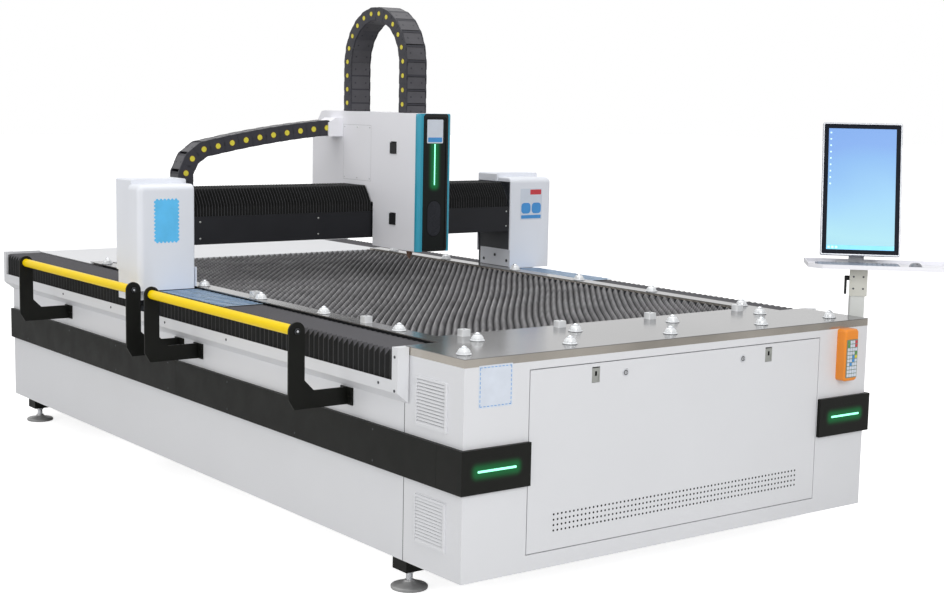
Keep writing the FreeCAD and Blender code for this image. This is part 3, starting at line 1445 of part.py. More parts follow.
def head_chain():
    """Chain that stands over the carriage and leads down to the cutting head."""
    left = sizes.head_left + (sizes.head_wide - sizes.tower_wide) / 2
    radius = sizes.tower_bend
    front = value_of("tower_front")
    rear = front + 2 * radius
    level = sizes.tower_centre

    def at(back, up):
        return FreeCAD.Vector(left, back, up)

    path = Part.Wire([
        Part.LineSegment(at(rear, sizes.tower_foot), at(rear, level)).toShape(),
        Part.Arc(at(rear, level), at(front + radius, level + radius), at(front, level)).toShape(),
        Part.LineSegment(at(front, level), at(front, sizes.tower_foot)).toShape(),
    ])
    node(shaped("head_chain", chain_links(path, sizes.tower_pitch, sizes.tower_tall, sizes.tower_wide,
                                          FreeCAD.Vector(1, 0, 0))))


def side_chain():
    """Long chain in a tray outside the right side, from its fixed end half way along to the gantry."""
    across = sizes.bed_width + sizes.side_out
    radius = sizes.side_bend
    low = sizes.side_low
    gantry_back = sizes.gantry_front + sizes.cover_deep + sizes.box_deep + sizes.fit

    def at(back, up):
        return FreeCAD.Vector(across, back, up)

    path = Part.Wire([
        Part.LineSegment(at(gantry_back, low + 2 * radius),
                         at(value_of("side_turn"), low + 2 * radius)).toShape(),
        Part.Arc(at(value_of("side_turn"), low + 2 * radius),
                 at(value_of("side_turn") + radius, low + radius),
                 at(value_of("side_turn"), low)).toShape(),
        Part.LineSegment(at(value_of("side_turn"), low), at(value_of("side_fixed"), low)).toShape(),
    ])
    node(shaped("side_chain", chain_links(path, sizes.side_pitch, sizes.side_tall, sizes.side_wide,
                                          FreeCAD.Vector(1, 0, 0))))


# ---- carriage -----------------------------------------------------------------------------------------

def carriage_housing():
    """Sheet housing of the carriage: a front part that reaches down in front of the beam and a rear part
    over it. It is open at the front, at the bottom and where the head chain goes in."""
    front = "head_front + frame_deep + fit"
    outline = [
        (front, "head_low"),
        ("head_back", "head_low"),
        ("head_back", "tail_low"),
        ("tail_back", "tail_low"),
        ("tail_back", "tail_shoulder"),
        ("tail_back - 50", "tail_shoulder + 90"),
        ("tail_back - 95", "head_top - 6"),
        ("tail_back - 125", "head_top"),
        (front, "head_top"),
    ]
    inside = [
        ("%s - 5" % front, "head_low - 5"),
        ("head_back + 5", "head_low - 5"),
        ("head_back + 5", "tail_low - 5"),
        ("tail_back - skin", "tail_low - 5"),
        ("tail_back - skin", "tail_shoulder - 1"),
        ("tail_back - 50 - skin * 0.8", "tail_shoulder + 90 - skin * 0.6"),
        ("tail_back - 95 - skin * 0.5", "head_top - 6 - skin * 0.9"),
        ("tail_back - 125", "head_top - skin"),
        ("%s - 5" % front, "head_top - skin"),
    ]
    housing = padded("carriage_housing", "YZ", "head_left", "head_wide", outline)
    pocket(housing, "YZ", "head_left + skin", "head_wide - 2 * skin", inside)
    left = "head_left + (head_wide - tower_wide) / 2 - 5"
    right = "head_left + (head_wide + tower_wide) / 2 + 5"
    for leg in ("tower_front", "tower_front + 2 * tower_bend"):
        pocket(housing, "XY", "head_top - skin - 1", "skin + 2",
               rectangle(left, "%s - tower_tall / 2 - 5" % leg, right, "%s + tower_tall / 2 + 5" % leg))
    for low in ("catch_upper", "catch_lower"):
        pocket(housing, "YZ", "head_left - 1", "skin + 1.5",
               rectangle("catch_back", low, "catch_back + catch_wide", "%s + catch_tall" % low))
        pivot = "%s + catch_tall - latch_drop" % low
        for ear in ("catch_back - latch_ear", "catch_back + catch_wide"):
            pad(housing, "XZ", ear, "latch_ear",
                rectangle("head_left + skin", "%s - 5" % pivot, "head_left + skin + latch_pin * 4",
                          "%s + 5" % pivot),
                pin_window("head_left + skin + latch_pin * 2", pivot))
    pad(housing, "XZ", "chain_front - 8", "chain_wide + 16", [
        ("head_left - chain_holder", "chain_start - chain_tall / 2 - 4"),
        ("head_left", "chain_start - chain_tall / 2 - 4"),
        ("head_left", "chain_start + chain_tall / 2 + 12"),
        ("head_left - chain_holder / 2", "chain_start + chain_tall / 2 + 12"),
        ("head_left - chain_holder", "chain_start + chain_tall / 2 - 14"),
    ])
    node(housing)


def carriage_front():
    """Coloured frame round the front, the black panel in it with its oval recess, and the light strip."""
    right = "head_left + head_wide"
    frame = padded("carriage_front_frame", "XZ", "head_front", "frame_deep",
                   rectangle("head_left", "head_low", right, "head_top"))
    near = 0.5
    dress_edges(frame, "Fillet", "trim_round", lambda middle, way:
                abs(way.y) > 0.9 and abs(middle.z - sizes.head_top) < near
                or abs(way.z) > 0.9 and abs(middle.y - value_of("head_front")) < near)
    pocket(frame, "XZ", "head_front - 1", "frame_deep + 2",
           rectangle("head_left + trim_wide", "head_low - 1", "%s - trim_wide" % right,
                     "head_top - trim_top"))
    node(frame)

    panel = padded("carriage_front_panel", "XZ", "head_front + 2", "frame_deep - 4",
                   rectangle("head_left + trim_wide + fit", "head_low + 2", "%s - trim_wide - fit" % right,
                             "head_top - trim_top - fit"))
    middle = "(head_left + head_wide / 2)"
    cap = "oval_wide / 2"
    recess = [("%s - %s" % (middle, cap), "oval_low + %s" % cap),
              ("%s + %s" % (middle, cap), "oval_low + %s" % cap),
              ("%s + %s" % (middle, cap), "oval_low + oval_tall - %s" % cap),
              ("%s - %s" % (middle, cap), "oval_low + oval_tall - %s" % cap)]
    pocket(panel, "XZ", "head_front + 1", "5", recess)
    pocket(panel, "XZ", "head_front + 1", "5", circle(middle, "oval_low + %s" % cap, cap))
    pocket(panel, "XZ", "head_front + 1", "5", circle(middle, "oval_low + oval_tall - %s" % cap, cap))
    pocket(panel, "XZ", "head_front + 1", "5",
           rectangle("%s - strip_wide / 2" % middle, "strip_low", "%s + strip_wide / 2" % middle,
                     "strip_low + strip_tall"))
    node(panel)
    node(group("carriage_light", block("light_strip",
                                       ("%s - strip_wide / 2 + fit" % middle, "head_front + 1.5",
                                        "strip_low + fit"),
                                       ("strip_wide - 2 * fit", "4.5", "strip_tall - 2 * fit"))))


def carriage_catch(label, low):
    """Paddle catch of the side cover, on a pin near its upper edge."""
    top = "%s + catch_tall" % low
    paddle = padded(label, "XZ", "catch_back + fit", "catch_wide - 2 * fit", [
        ("head_left - catch_deep / 2", "%s + 1" % low),
        ("head_left + skin - 1", "%s + 1" % low),
        ("head_left + skin - 1", "%s - 20" % top),
        ("head_left + skin + latch_pin * 4", "%s - latch_drop - 5" % top),
        ("head_left + skin + latch_pin * 4", "%s - latch_drop + 5" % top),
        ("head_left + skin - 1", "%s - latch_drop + 2.5" % top),
        ("head_left - catch_deep / 2", "%s - latch_drop + 2.5" % top),
    ])
    pad(paddle, "XZ", "catch_back - latch_ear", "catch_wide + 2 * latch_ear",
        circle("head_left + skin + latch_pin * 2", "%s - latch_drop" % top, "latch_pin"))
    node(paddle)


def carriage_saddle():
    """Bearing blocks on the beam's rails, the saddle plate on them, the upright front plate with its two
    short rails, and the rib that holds the rear leg of the head chain."""
    low = "beam_low + beam_tall"
    top = "tail_low + 12"
    under = "%s - 20" % top
    front = "head_back - 40"
    left = "head_left + skin"
    wide = "head_wide - 2 * skin"
    plate = block("saddle_plate", (left, front, under),
                  (wide, "beam_front + beam_deep - 6 - (%s)" % front, "20"))
    upright = block("upright_plate", (left, front, "head_low + 65"),
                    (wide, "20", "head_top - head_low - 105"))
    rib = block("chain_rib", ("head_left + head_wide / 2 - 22", "beam_front + beam_deep - 66", top),
                ("44", "110", "tower_foot - fit - (%s)" % top))
    saddle = fuse("saddle", plate, upright, rib)
    pieces = [saddle]
    for row, back in (("front", "cross_rail_front"), ("rear", "cross_rail_rear")):
        for side, across in (("left", "head_left + 16"), ("right", "head_left + head_wide - 86")):
            centre = "beam_front + %s" % back
            pieces.append(padded("cross_bearing_%s_%s" % (row, side), "YZ", across, "70", [
                ("%s - 24" % centre, "%s + 6" % low),
                ("%s - cross_rail_wide / 2 - fit" % centre, "%s + 6" % low),
                ("%s - cross_rail_wide / 2 - fit" % centre, "%s + cross_rail_tall + fit" % low),
                ("%s + cross_rail_wide / 2 + fit" % centre, "%s + cross_rail_tall + fit" % low),
                ("%s + cross_rail_wide / 2 + fit" % centre, "%s + 6" % low),
                ("%s + 24" % centre, "%s + 6" % low),
                ("%s + 24" % centre, under),
                ("%s - 24" % centre, under),
            ]))
    for side, across in (("left", "head_left + 44"), ("right", "head_left + head_wide - 62")):
        pieces.append(block("head_rail_" + side, (across, "%s - 8" % front, "head_low + 85"),
                            ("18", "8", "head_top - head_low - 150")))
    node(group("carriage_saddle", *pieces))


def cutting_head():
    """Slide plate, focusing head and nozzle that move up and down together."""
    middle = "(head_left + head_wide / 2)"
    back = "head_back - 40 - 8 - fit"
    slide = block("slide_plate", ("%s - 66" % middle, "%s - 17" % back, "head_low + 165"),
                  ("132", "17", "tower_foot - head_low - 165 - 1"))
    clamp = block("head_clamp", ("%s - 40" % middle, "nozzle_back + 40", "head_low + 300"),
                  ("80", "%s - 17 - nozzle_back - 40" % back, "90"))
    bracket = block("chain_bracket", ("%s - 34" % middle, "tower_front - 36", "tower_foot - fit - 14"),
                    ("68", "%s - 17 - tower_front + 36" % back, "14"))
    optics = block("optics_box", ("%s - 48" % middle, "nozzle_back - 52", "head_low + 130"),
                   ("96", "104", "330"))
    nozzle = revolved("nozzle", (middle, "nozzle_back", "nozzle_low"), [
        ("0", "0"),
        ("4", "0"),
        ("14", "24"),
        ("30", "head_low + 45 - nozzle_low"),
        ("36", "head_low + 45 - nozzle_low"),
        ("36", "head_low + 131 - nozzle_low"),
        ("0", "head_low + 131 - nozzle_low"),
    ])
    node(fuse("cutting_head", slide, clamp, bracket, optics, nozzle))


# ---- console ------------------------------------------------------------------------------------------

def turned(item, lean=0.0, pivot_up=0.0, pivot_back=0.0):
    """Stands a piece that was built round the post, x to its right and y behind it, on the turned
    console."""
    turn = FreeCAD.Rotation(FreeCAD.Vector(0, 0, 1), sizes.console_turn)
    place = FreeCAD.Placement(FreeCAD.Vector(value_of("post_x"), sizes.post_y, 0), turn)
    if lean:
        pivot = FreeCAD.Vector(0, pivot_back, pivot_up)
        place = place * FreeCAD.Placement(FreeCAD.Vector(), FreeCAD.Rotation(FreeCAD.Vector(1, 0, 0), -lean),
                                          pivot)
    item.Placement = place
    return item


def console_bracket():
    """Arm on the right side of the cabinet with the upright spigot that the console turns on."""
    plate = block("bracket_plate", ("bed_width", "post_y - 60", "post_low - 37"), ("8", "120", "37 - fit"))
    arm = block("bracket_arm", ("bed_width", "post_y - 40", "post_low - 30"),
                ("post_x - bed_width + 40", "80", "30 - fit"))
    spigot = rod("bracket_spigot", ("post_x", "post_y", "post_low - 10"), "spigot_radius", "130")
    node(fuse("console_bracket", plate, arm, spigot))


def console_post():
    """Square post with the bore for the spigot, and the head plate that carries the tray."""
    half = "post_square / 2"
    post = padded("console_post", "XY", "post_low", "post_top - post_low",
                  rectangle("-%s" % half, "-%s" % half, half, half))
    pocket(post, "XY", "post_low - 1", "125", circle("0", "0", "spigot_radius + pin_play"))
    pad(post, "XY", "post_top", "tray_low - post_top", rectangle("-70", "-60", "70", "60"))
    pad(post, "XZ", "-post_square / 2 - 6", "6",
        rectangle("-post_square / 2 - 8", "post_top - 130", "post_square / 2 + 8", "post_top - 8"))
    node(turned(post))


def console_tray():
    """Folded tray with a cut front left corner."""
    tray = padded("console_tray", "XY", "tray_low", "tray_lip", [
        ("-tray_left + tray_cut", "-tray_front"),
        ("tray_right", "-tray_front"),
        ("tray_right", "tray_back"),
        ("-tray_left", "tray_back"),
        ("-tray_left", "-tray_front + tray_cut"),
    ])
    pocket(tray, "XY", "tray_low + tray_sheet", "tray_lip", [
        ("-tray_left + tray_cut + tray_sheet * 0.4", "-tray_front + tray_sheet"),
        ("tray_right - tray_sheet", "-tray_front + tray_sheet"),
        ("tray_right - tray_sheet", "tray_back - tray_sheet"),
        ("-tray_left + tray_sheet", "tray_back - tray_sheet"),
        ("-tray_left + tray_sheet", "-tray_front + tray_cut + tray_sheet * 0.4"),
    ])
    node(turned(tray))


def screen_centre():
    """The monitor's middle, behind the post's axis."""
    return 40.0


def monitor_parts():
    """Stand with its hinge ears, and the monitor on its hinge pin, leaning back."""
    base = "tray_low + tray_sheet"
    middle = screen_centre()
    pivot = "%g + screen_deep + 4" % middle
    stand = padded("monitor_stand", "XY", base, "8", rectangle("-95", "-10", "95", "%s + 45" % pivot))
    pad(stand, "XY", "%s + 8" % base, "screen_high - (%s) - 8 + 20" % base,
        rectangle("-35", "%s + 12" % pivot, "35", "%s + 22" % pivot))
    for ear in ("-32", "24"):
        pad(stand, "YZ", ear, "8",
            rectangle("%s - 9" % pivot, "screen_high - 14", "%s + 13" % pivot, "screen_high + 14"),
            circle(pivot, "screen_high", "screen_pin + pin_play"))
    node(turned(stand))

    monitor = padded("monitor", "XZ", "%g - screen_deep / 2" % middle, "screen_deep * 0.6",
                     rectangle("-screen_wide / 2", "screen_high - screen_tall / 2", "screen_wide / 2",
                               "screen_high + screen_tall / 2"))
    pad(monitor, "XZ", "%g + screen_deep * 0.1" % middle, "screen_deep * 0.4",
        rectangle("-screen_wide / 2 + 40", "screen_high - screen_tall / 2 + 60", "screen_wide / 2 - 40",
                  "screen_high + screen_tall / 2 - 60"))
    pad(monitor, "XZ", "%g + screen_deep * 0.5" % middle, "screen_deep * 0.5 + 8",
        rectangle("-23.7", "screen_high - 9", "23.7", "screen_high + 9"))
    pad(monitor, "YZ", "-34", "68", circle(pivot, "screen_high", "screen_pin"))
    pocket(monitor, "XZ", "%g - screen_deep / 2 - 1" % middle, "2.5",
           rectangle("-screen_wide / 2 + 12", "screen_high - screen_tall / 2 + 14", "screen_wide / 2 - 12",
                     "screen_high + screen_tall / 2 - 14"))
    node(turned(monitor, sizes.screen_lean, sizes.screen_high, value_of(pivot)))


def desk_pieces():
    """Keyboard and mouse, which only lie on the tray."""
    floor = "tray_low + tray_sheet"
    keyboard = padded("keyboard", "YZ", "-198", "keys_wide", [
        ("-tray_front + 32", floor),
        ("-tray_front + 32 + keys_deep", floor),
        ("-tray_front + 32 + keys_deep", "%s + keys_tall" % floor),
        ("-tray_front + 32", "%s + keys_tall * 0.5" % floor),
    ])
    node(turned(keyboard))
    front = "-tray_front + 22"
    mouse = padded("mouse", "YZ", "mouse_left", "mouse_wide", [
        (front, floor),
        ("%s + mouse_long" % front, floor),
        ("%s + mouse_long" % front, "%s + mouse_tall * 0.32" % floor),
        ("%s + mouse_long * 0.85" % front, "%s + mouse_tall * 0.87" % floor),
        ("%s + mouse_long * 0.55" % front, "%s + mouse_tall" % floor),
        ("%s + mouse_long * 0.17" % front, "%s + mouse_tall * 0.7" % floor),
        (front, "%s + mouse_tall * 0.32" % floor),
    ])
    x_left = sizes.mouse_left
    x_right = sizes.mouse_left + sizes.mouse_wide
    z_dressed = sizes.tray_low + sizes.tray_sheet + sizes.mouse_tall * 0.35
    dress_edges(mouse, "Chamfer", "mouse_tall * 0.22", lambda middle, way:
                (abs(middle.x - x_left) < 0.5 or abs(middle.x - x_right) < 0.5) and middle.z > z_dressed)
    node(turned(mouse))


def clamp_lever():
    """Lever at the left of the head plate that locks the console."""
    hub = rod("lever_hub", ("-post_square / 2 - fit - 26", "0", "post_top - 50"), "11", "26", TO_RIGHT)
    arm = block("lever_arm", ("-post_square / 2 - fit - 26", "-7", "post_top - 125"), ("10", "14", "72"))
    lever = fuse("clamp_lever", hub, arm)
    node(turned(lever))


# ---- pendant and equipment ----------------------------------------------------------------------------

def pendant():
    """Hand pendant in its holder on the front, with a raised keypad."""
    right = "pendant_left + pendant_wide"
    top = "pendant_low + pendant_tall"
    front = "-holder_deep - pendant_deep"
    body = padded("pendant_body", "XZ", front, "pendant_deep", [
        ("pendant_left + 10", "pendant_low"),
        ("%s - 10" % right, "pendant_low"),
        (right, "pendant_low + 12"),
        (right, "%s - 14" % top),
        ("%s - 12" % right, top),
        ("pendant_left + 12", top),
        ("pendant_left", "%s - 14" % top),
        ("pendant_left", "pendant_low + 12"),
    ])
    pad(body, "XZ", "-holder_deep", "holder_deep",
        rectangle("pendant_left + 18", "pendant_low + 30", "%s - 18" % right, "%s - 24" % top))
    node(body)
    node(padded("pendant_keypad", "XZ", "%s - 3" % front, "3", rectangle(
        "pendant_left + 12", "pendant_low + 16", "%s - 12" % right, "%s - 46" % top)))


def equipment():
    """Laser source and control box on the cabinet floor."""
    floor = "body_bottom + skin"
    back = "cabinet_depth - skin - fit - equipment_deep"
    source = block("source_case", ("120", back, floor), ("source_wide", "equipment_deep", "source_tall"))
    control = block("control_case", ("bed_width - 120 - control_wide", back, floor),
                    ("control_wide", "equipment_deep", "control_tall"))
    node(group("cabinet_equipment", source, control))


bed_frame()
levelling_feet()
guides()
cabinet_shell()
cabinet_front_frame()
side_panels()
rear_panel()
side_bands()
louvre_vents()
front_door()
door_hinge_pins()
cam_lock("cam_lock_left", "lock_left")
cam_lock("cam_lock_right", "lock_right")
latch_paddle("latch_paddle_left", "latch_left")
latch_paddle("latch_paddle_right", "latch_right")
worktop_plates()
slat_carriers()
slats()
rear_deck()
table_fittings()
channel_covers()
end_caps()
side_bellows("side_bellows_front", value_of("channel_front") + sizes.fit, sizes.gantry_front - sizes.fit)
side_bellows("side_bellows_rear",
             sizes.gantry_front + sizes.cover_deep + sizes.box_deep + sizes.fit,
             value_of("channel_rear") - sizes.fit)
scale_plates()
handrails()
gantry_beam()
beam_cover_plate()
beam_rails()
gantry_ends()
gantry_covers()
bearing_blocks()
drives()
beam_bellows()
cross_chain()
side_chain()
carriage_housing()
carriage_front()
carriage_catch("carriage_catch_upper", "catch_upper")
carriage_catch("carriage_catch_lower", "catch_lower")
carriage_saddle()
head_chain()
cutting_head()
console_bracket()
console_post()
console_tray()
monitor_parts()
desk_pieces()
clamp_lever()
pendant()
equipment()
doc.recompute()

# The origin goes to the floor under the middle of the footprint.
whole = Part.makeCompound([item.Shape for item in NODES]).BoundBox
to_origin = FreeCAD.Placement(
    FreeCAD.Vector(-(whole.XMin + whole.XMax) / 2, -(whole.YMin + whole.YMax) / 2, -whole.ZMin),
    FreeCAD.Rotation())
for item in NODES:
    item.Placement = to_origin * item.Placement
doc.recompute()

failed = [item.Label for item in doc.Objects if "Invalid" in item.State or "Error" in item.State]
if failed:
    raise RuntimeError("could not be computed: %s" % ", ".join(failed))
for item in NODES:
    if item.Shape.isNull() or not item.Shape.isValid() or not item.Shape.Solids:
        raise RuntimeError("not a valid solid: %s" % item.Label)

os.makedirs("parts", exist_ok=True)
for item in NODES:
    item.Shape.exportStep("parts/%s.step" % item.Label)
print("sub-parts", len(NODES), "origin shift", to_origin.Base)
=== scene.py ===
import random
from bisect import bisect_left
from math import asin, copysign, cos, hypot, log, radians, sin

import bpy
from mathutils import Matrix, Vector


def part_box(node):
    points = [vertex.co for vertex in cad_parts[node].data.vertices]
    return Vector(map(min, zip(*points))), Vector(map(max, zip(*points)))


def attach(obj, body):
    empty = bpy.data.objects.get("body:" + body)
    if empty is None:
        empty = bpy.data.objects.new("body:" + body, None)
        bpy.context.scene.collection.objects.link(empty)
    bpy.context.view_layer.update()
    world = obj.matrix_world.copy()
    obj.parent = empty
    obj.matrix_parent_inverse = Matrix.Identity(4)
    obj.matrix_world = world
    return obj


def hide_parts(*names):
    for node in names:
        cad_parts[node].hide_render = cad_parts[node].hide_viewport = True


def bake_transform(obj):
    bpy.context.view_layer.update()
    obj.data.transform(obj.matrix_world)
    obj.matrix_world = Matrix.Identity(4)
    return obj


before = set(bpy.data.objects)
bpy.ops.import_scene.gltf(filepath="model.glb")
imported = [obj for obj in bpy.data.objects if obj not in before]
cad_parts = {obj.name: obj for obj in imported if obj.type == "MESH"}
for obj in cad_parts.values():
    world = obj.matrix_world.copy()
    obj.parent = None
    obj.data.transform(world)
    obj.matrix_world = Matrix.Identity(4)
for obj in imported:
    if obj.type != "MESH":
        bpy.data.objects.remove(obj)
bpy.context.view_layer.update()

# Open-table fiber laser cutting machine. Every length here is in millimetres of the machine's own frame: x runs
# right from the cabinet's left side, y runs back from the front face and z runs up from the floor.
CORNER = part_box("cabinet_front_frame")[0]
MM = 0.001
SCENE = bpy.context.scene
WIDE = 2300  # between the cabinet's sides
RAIL_COVER = 158  # from a side of the cabinet to the inner edge of the covers over its rail
COVER_OUT = 57  # from a side of the cabinet out to the face of its channel cover
HOUSING_LEFT, HOUSING_WIDE = 1209, 207


def at(x, y, z):
    """A point of the machine, in metres of the shared frame."""
    return Vector((CORNER.x + x * MM, CORNER.y + y * MM, z * MM))


def place(node):
    """A CAD node's lowest and highest corners, in machine millimetres."""
    low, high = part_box(node)
    return [Vector(((p.x - CORNER.x) / MM, (p.y - CORNER.y) / MM, p.z / MM)) for p in (low, high)]


# ---- outlines and shapes

def polar(radius, degrees):
    angle = radians(degrees)
    return radius * cos(angle), radius * sin(angle)


def arc(centre, radius, first, last, steps=40):
    spots = [polar(radius, first + (last - first) * step / steps) for step in range(steps + 1)]
    return [(centre[0] + across, centre[1] + up) for across, up in spots]


def rounded(left, low, right, high, radius, steps=4):
    """The outline of a rectangle with round corners."""
    outline = []
    for across, up, first in ((right - radius, low + radius, 270), (right - radius, high - radius, 0),
                              (left + radius, high - radius, 90), (left + radius, low + radius, 180)):
        outline += arc((across, up), radius, first, first + 90, steps)
    return outline


class Shape:
    """Faces gathered in machine millimetres. Each face carries the number of its material."""

    def __init__(self, turned=Vector):
        self.points, self.faces, self.tags = [], [], []
        self.turned = turned

    def add(self, points, faces, tag=0):
        first = len(self.points)
        self.points += [self.turned(Vector(point)) for point in points]
        self.faces += [[first + number for number in face] for face in faces]
        self.tags += [tag] * len(faces)

    def face(self, points, tag=0):
        self.add(points, [range(len(points))], tag)

    def box(self, low, high, tag=0):
        (a, b, c), (d, e, f) = low, high
        self.prism([(a, b), (d, b), (d, e), (a, e)], lambda x, y, end: (x, y, f if end else c), tag)

    def tube(self, rows, tag=0, closed=False, flip=False):
        """Joins rows of points, each a loop, and closes both ends if asked."""
        count, end = len(rows[0]), len(rows) * len(rows[0])
        faces = [(first + n, first + (n + 1) % count, first + (n + 1) % count + count, first + n + count)
                 for first in range(0, end - count, count) for n in range(count)]
        if closed:
            faces += [range(count)[::-1], range(end - count, end)]
        self.add([point for row in rows for point in row], [face[::-1] for face in faces] if flip else faces, tag)

    def prism(self, outline, put, tag=0):
        """A flat outline between two levels: put(a, b, 0 or 1) gives the point."""
        self.tube([[put(a, b, end) for a, b in outline] for end in (0, 1)], tag, closed=True)

    def sheet(self, outline, front, back, tag=0):
        """An upright outline of (x, z) between two places along y."""
        self.prism(outline, lambda a, b, end: (a, back if end else front, b), tag)

    def lathe(self, base, profile, sides=16, axis="z", tag=0):
        """A turned piece. profile: (radius, height along the axis) from end to end."""
        x, y, z = base
        rows = []
        for radius, height in profile:
            ring = [polar(radius, 360 * side / sides) for side in range(sides)]
            rows.append([{"x": (x + height, y + a, z + b), "y": (x + a, y + height, z + b),
                          "z": (x + a, y + b, z + height)}[axis] for a, b in ring])
        self.tube(rows, tag, closed=True, flip=axis == "y")

    def item(self, name, materials=(), bevel=0.0, smooth=None):
        mesh = bpy.data.meshes.new(name)
        mesh.from_pydata([at(*point) for point in self.points], [], self.faces)
        for material in materials:
            mesh.materials.append(material)
        mesh.polygons.foreach_set("material_index", self.tags)
        mesh.validate()
        item = bpy.data.objects.new(name, mesh)
        SCENE.collection.objects.link(item)
        if smooth is not None:
            bpy.context.view_layer.objects.active = item
            item.select_set(True)
            bpy.ops.object.shade_smooth_by_angle(angle=radians(smooth))
            item.select_set(False)
        if bevel:
            edges = item.modifiers.new("edges", "BEVEL")
            edges.width, edges.segments = bevel * MM, 2
            edges.limit_method, edges.angle_limit = "ANGLE", radians(40)
            edges.harden_normals = True
        return item


def piece(shape, name, body, materials, node=None, bevel=0.0, smooth=None):
    """Makes a shape into a piece that rides on a CAD body."""
    item = shape.item(name, materials, bevel, smooth)
    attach(item, body)
    if node:
        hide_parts(node)


# ---- materials

def linear(colour):
    """A screen colour, such as "e0e1e4", as the shader wants it."""
    return [(part / 255 / 12.92 if part <= 10 else ((part / 255 + 0.055) / 1.055) ** 2.4)
            for part in bytes.fromhex(colour)] + [1.0]


class Graph:
    """The shader nodes of a material or of the world."""

    def __init__(self, tree):
        self.tree = tree

    def fill(self, node, inputs):
        """Gives each input a value or, from another node's output, a link."""
        for name, value in inputs.items():
            if isinstance(value, bpy.types.NodeSocket):
                self.tree.links.new(value, node.inputs[name])
            else:
                node.inputs[name].default_value = value

    def add(self, kind, output=0, inputs=None, **settings):
        """Makes a node and gives back one of its outputs."""
        node = self.tree.nodes.new("ShaderNode" + kind)
        for name, value in settings.items():
            setattr(node, name, value)
        self.fill(node, inputs or {})
        return node.outputs[output]

    def reckon(self, kind, operation, *inputs):
        """A Math or VectorMath node."""
        output = "Value" if operation == "LENGTH" else 0
        return self.add(kind, output, dict(enumerate(inputs)), operation=operation)

    def noise(self, where, scale, detail=2):
        return self.add("TexNoise", "Fac", {"Vector": where, "Scale": scale, "Detail": detail})

    def level(self, where, low, high):
        """0 at the low height and 1 at the high one."""
        up = self.add("SeparateXYZ", "Z", {"Vector": where})
        return self.add("MapRange", inputs={"Value": up, "From Min": low * MM, "From Max": high * MM})

    def ramp(self, factor, stops):
        """A run of colours. stops: (position, linear colour) from low to high."""
        node = self.tree.nodes.new("ShaderNodeValToRGB")
        elements = node.color_ramp.elements
        elements[0].position, elements[1].position = stops[0][0], stops[-1][0]
        for position, _ in stops[1:-1]:
            elements.new(position)
        for element, (_, colour) in zip(elements, stops):
            element.color = list(colour[:3]) + [1]
        self.fill(node, {"Fac": factor})
        return node.outputs["Color"]


def fresh(name):
    """A new material, the graph of its nodes and its shader."""
    material = bpy.data.materials.new(name)
    material.use_nodes = True
    return material, Graph(material.node_tree), material.node_tree.nodes["Principled BSDF"]


def coated(name, colour, rough, spread, scale, grain=220, bump=0.05, metal=0, specular=0.5, patches=0.06, coat=0,
           sheen=0, stretch=(1, 1, 1), fade=None):
    """Paint, plastic, metal or cloth: slow changes of colour (spread) and roughness (patches) over a fine grain.
    stretch draws both patterns out along an axis. fade: (low, high, tint, tint) paints shade by height: it
    multiplies the colour by the first tint below the low level and by the second above the high one."""
    material, graph, shader = fresh(name)
    where = graph.add("TexCoord", "Object")
    drawn = graph.add("Mapping", inputs={"Vector": where, "Scale": stretch})
    slow = graph.noise(drawn, scale, 5)
    base = linear(colour)[:3]
    shown = graph.ramp(slow, [(0.3, [part * (1 - spread) for part in base]),
                              (0.7, [min(1.0, part * (1 + spread)) for part in base])])
    if fade:
        low, high, under, over = fade
        tint = graph.ramp(graph.level(where, low, high), [(0, under), (1, over)])
        shown = graph.reckon("VectorMath", "MULTIPLY", shown, tint)
    gloss = graph.add("MapRange", inputs={"Value": slow, "From Min": 0.3, "From Max": 0.7,
                                          "To Min": max(0.02, rough - patches), "To Max": min(1.0, rough + patches)})
    fine = graph.noise(drawn, grain)
    relief = graph.add("Bump", inputs={"Height": fine, "Strength": bump, "Distance": 0.002})
    graph.fill(shader, {"Base Color": shown, "Roughness": gloss, "Normal": relief, "Metallic": metal,
                        "Coat Weight": coat, "Coat Roughness": 0.08, "Specular IOR Level": specular})
    if sheen:
        graph.fill(shader, {"Sheen Weight": sheen, "Sheen Roughness": 0.4})
    return material


def lit(name, colour, strength):
    """A diffuser with light behind it, a little uneven."""
    material, graph, shader = fresh(name)
    base = linear(colour)
    slow = graph.noise(graph.add("TexCoord", "Object"), 30)
    shown = graph.ramp(slow, [(0, [part * 0.85 for part in base]), (1, [part + 0.06 for part in base])])
    graph.fill(shader, {"Base Color": base, "Roughness": 0.35, "Emission Color": shown,
                        "Emission Strength": strength})
    return material


SCREEN_TONES = [(0.1, "7ebed6"), (0.35, "8ecede"), (0.62, "78bae2"), (0.9, "5ca0de"),
                (1.0, "5492dc")]


def screen_picture(name, low, high):
    """A plain backdrop for the monitor."""
    material, graph, shader = fresh(name)
    where = graph.add("TexCoord", "Object")
    mixed = graph.reckon("Math", "MULTIPLY_ADD", graph.noise(where, 2.2), 0.35, graph.level(where, low, high))
    shown = graph.ramp(mixed, [(position, linear(colour)) for position, colour in SCREEN_TONES])
    graph.fill(shader, {"Base Color": (0.01, 0.01, 0.012, 1), "Roughness": 0.2, "Emission Color": shown,
                        "Emission Strength": 1.0})
    return material


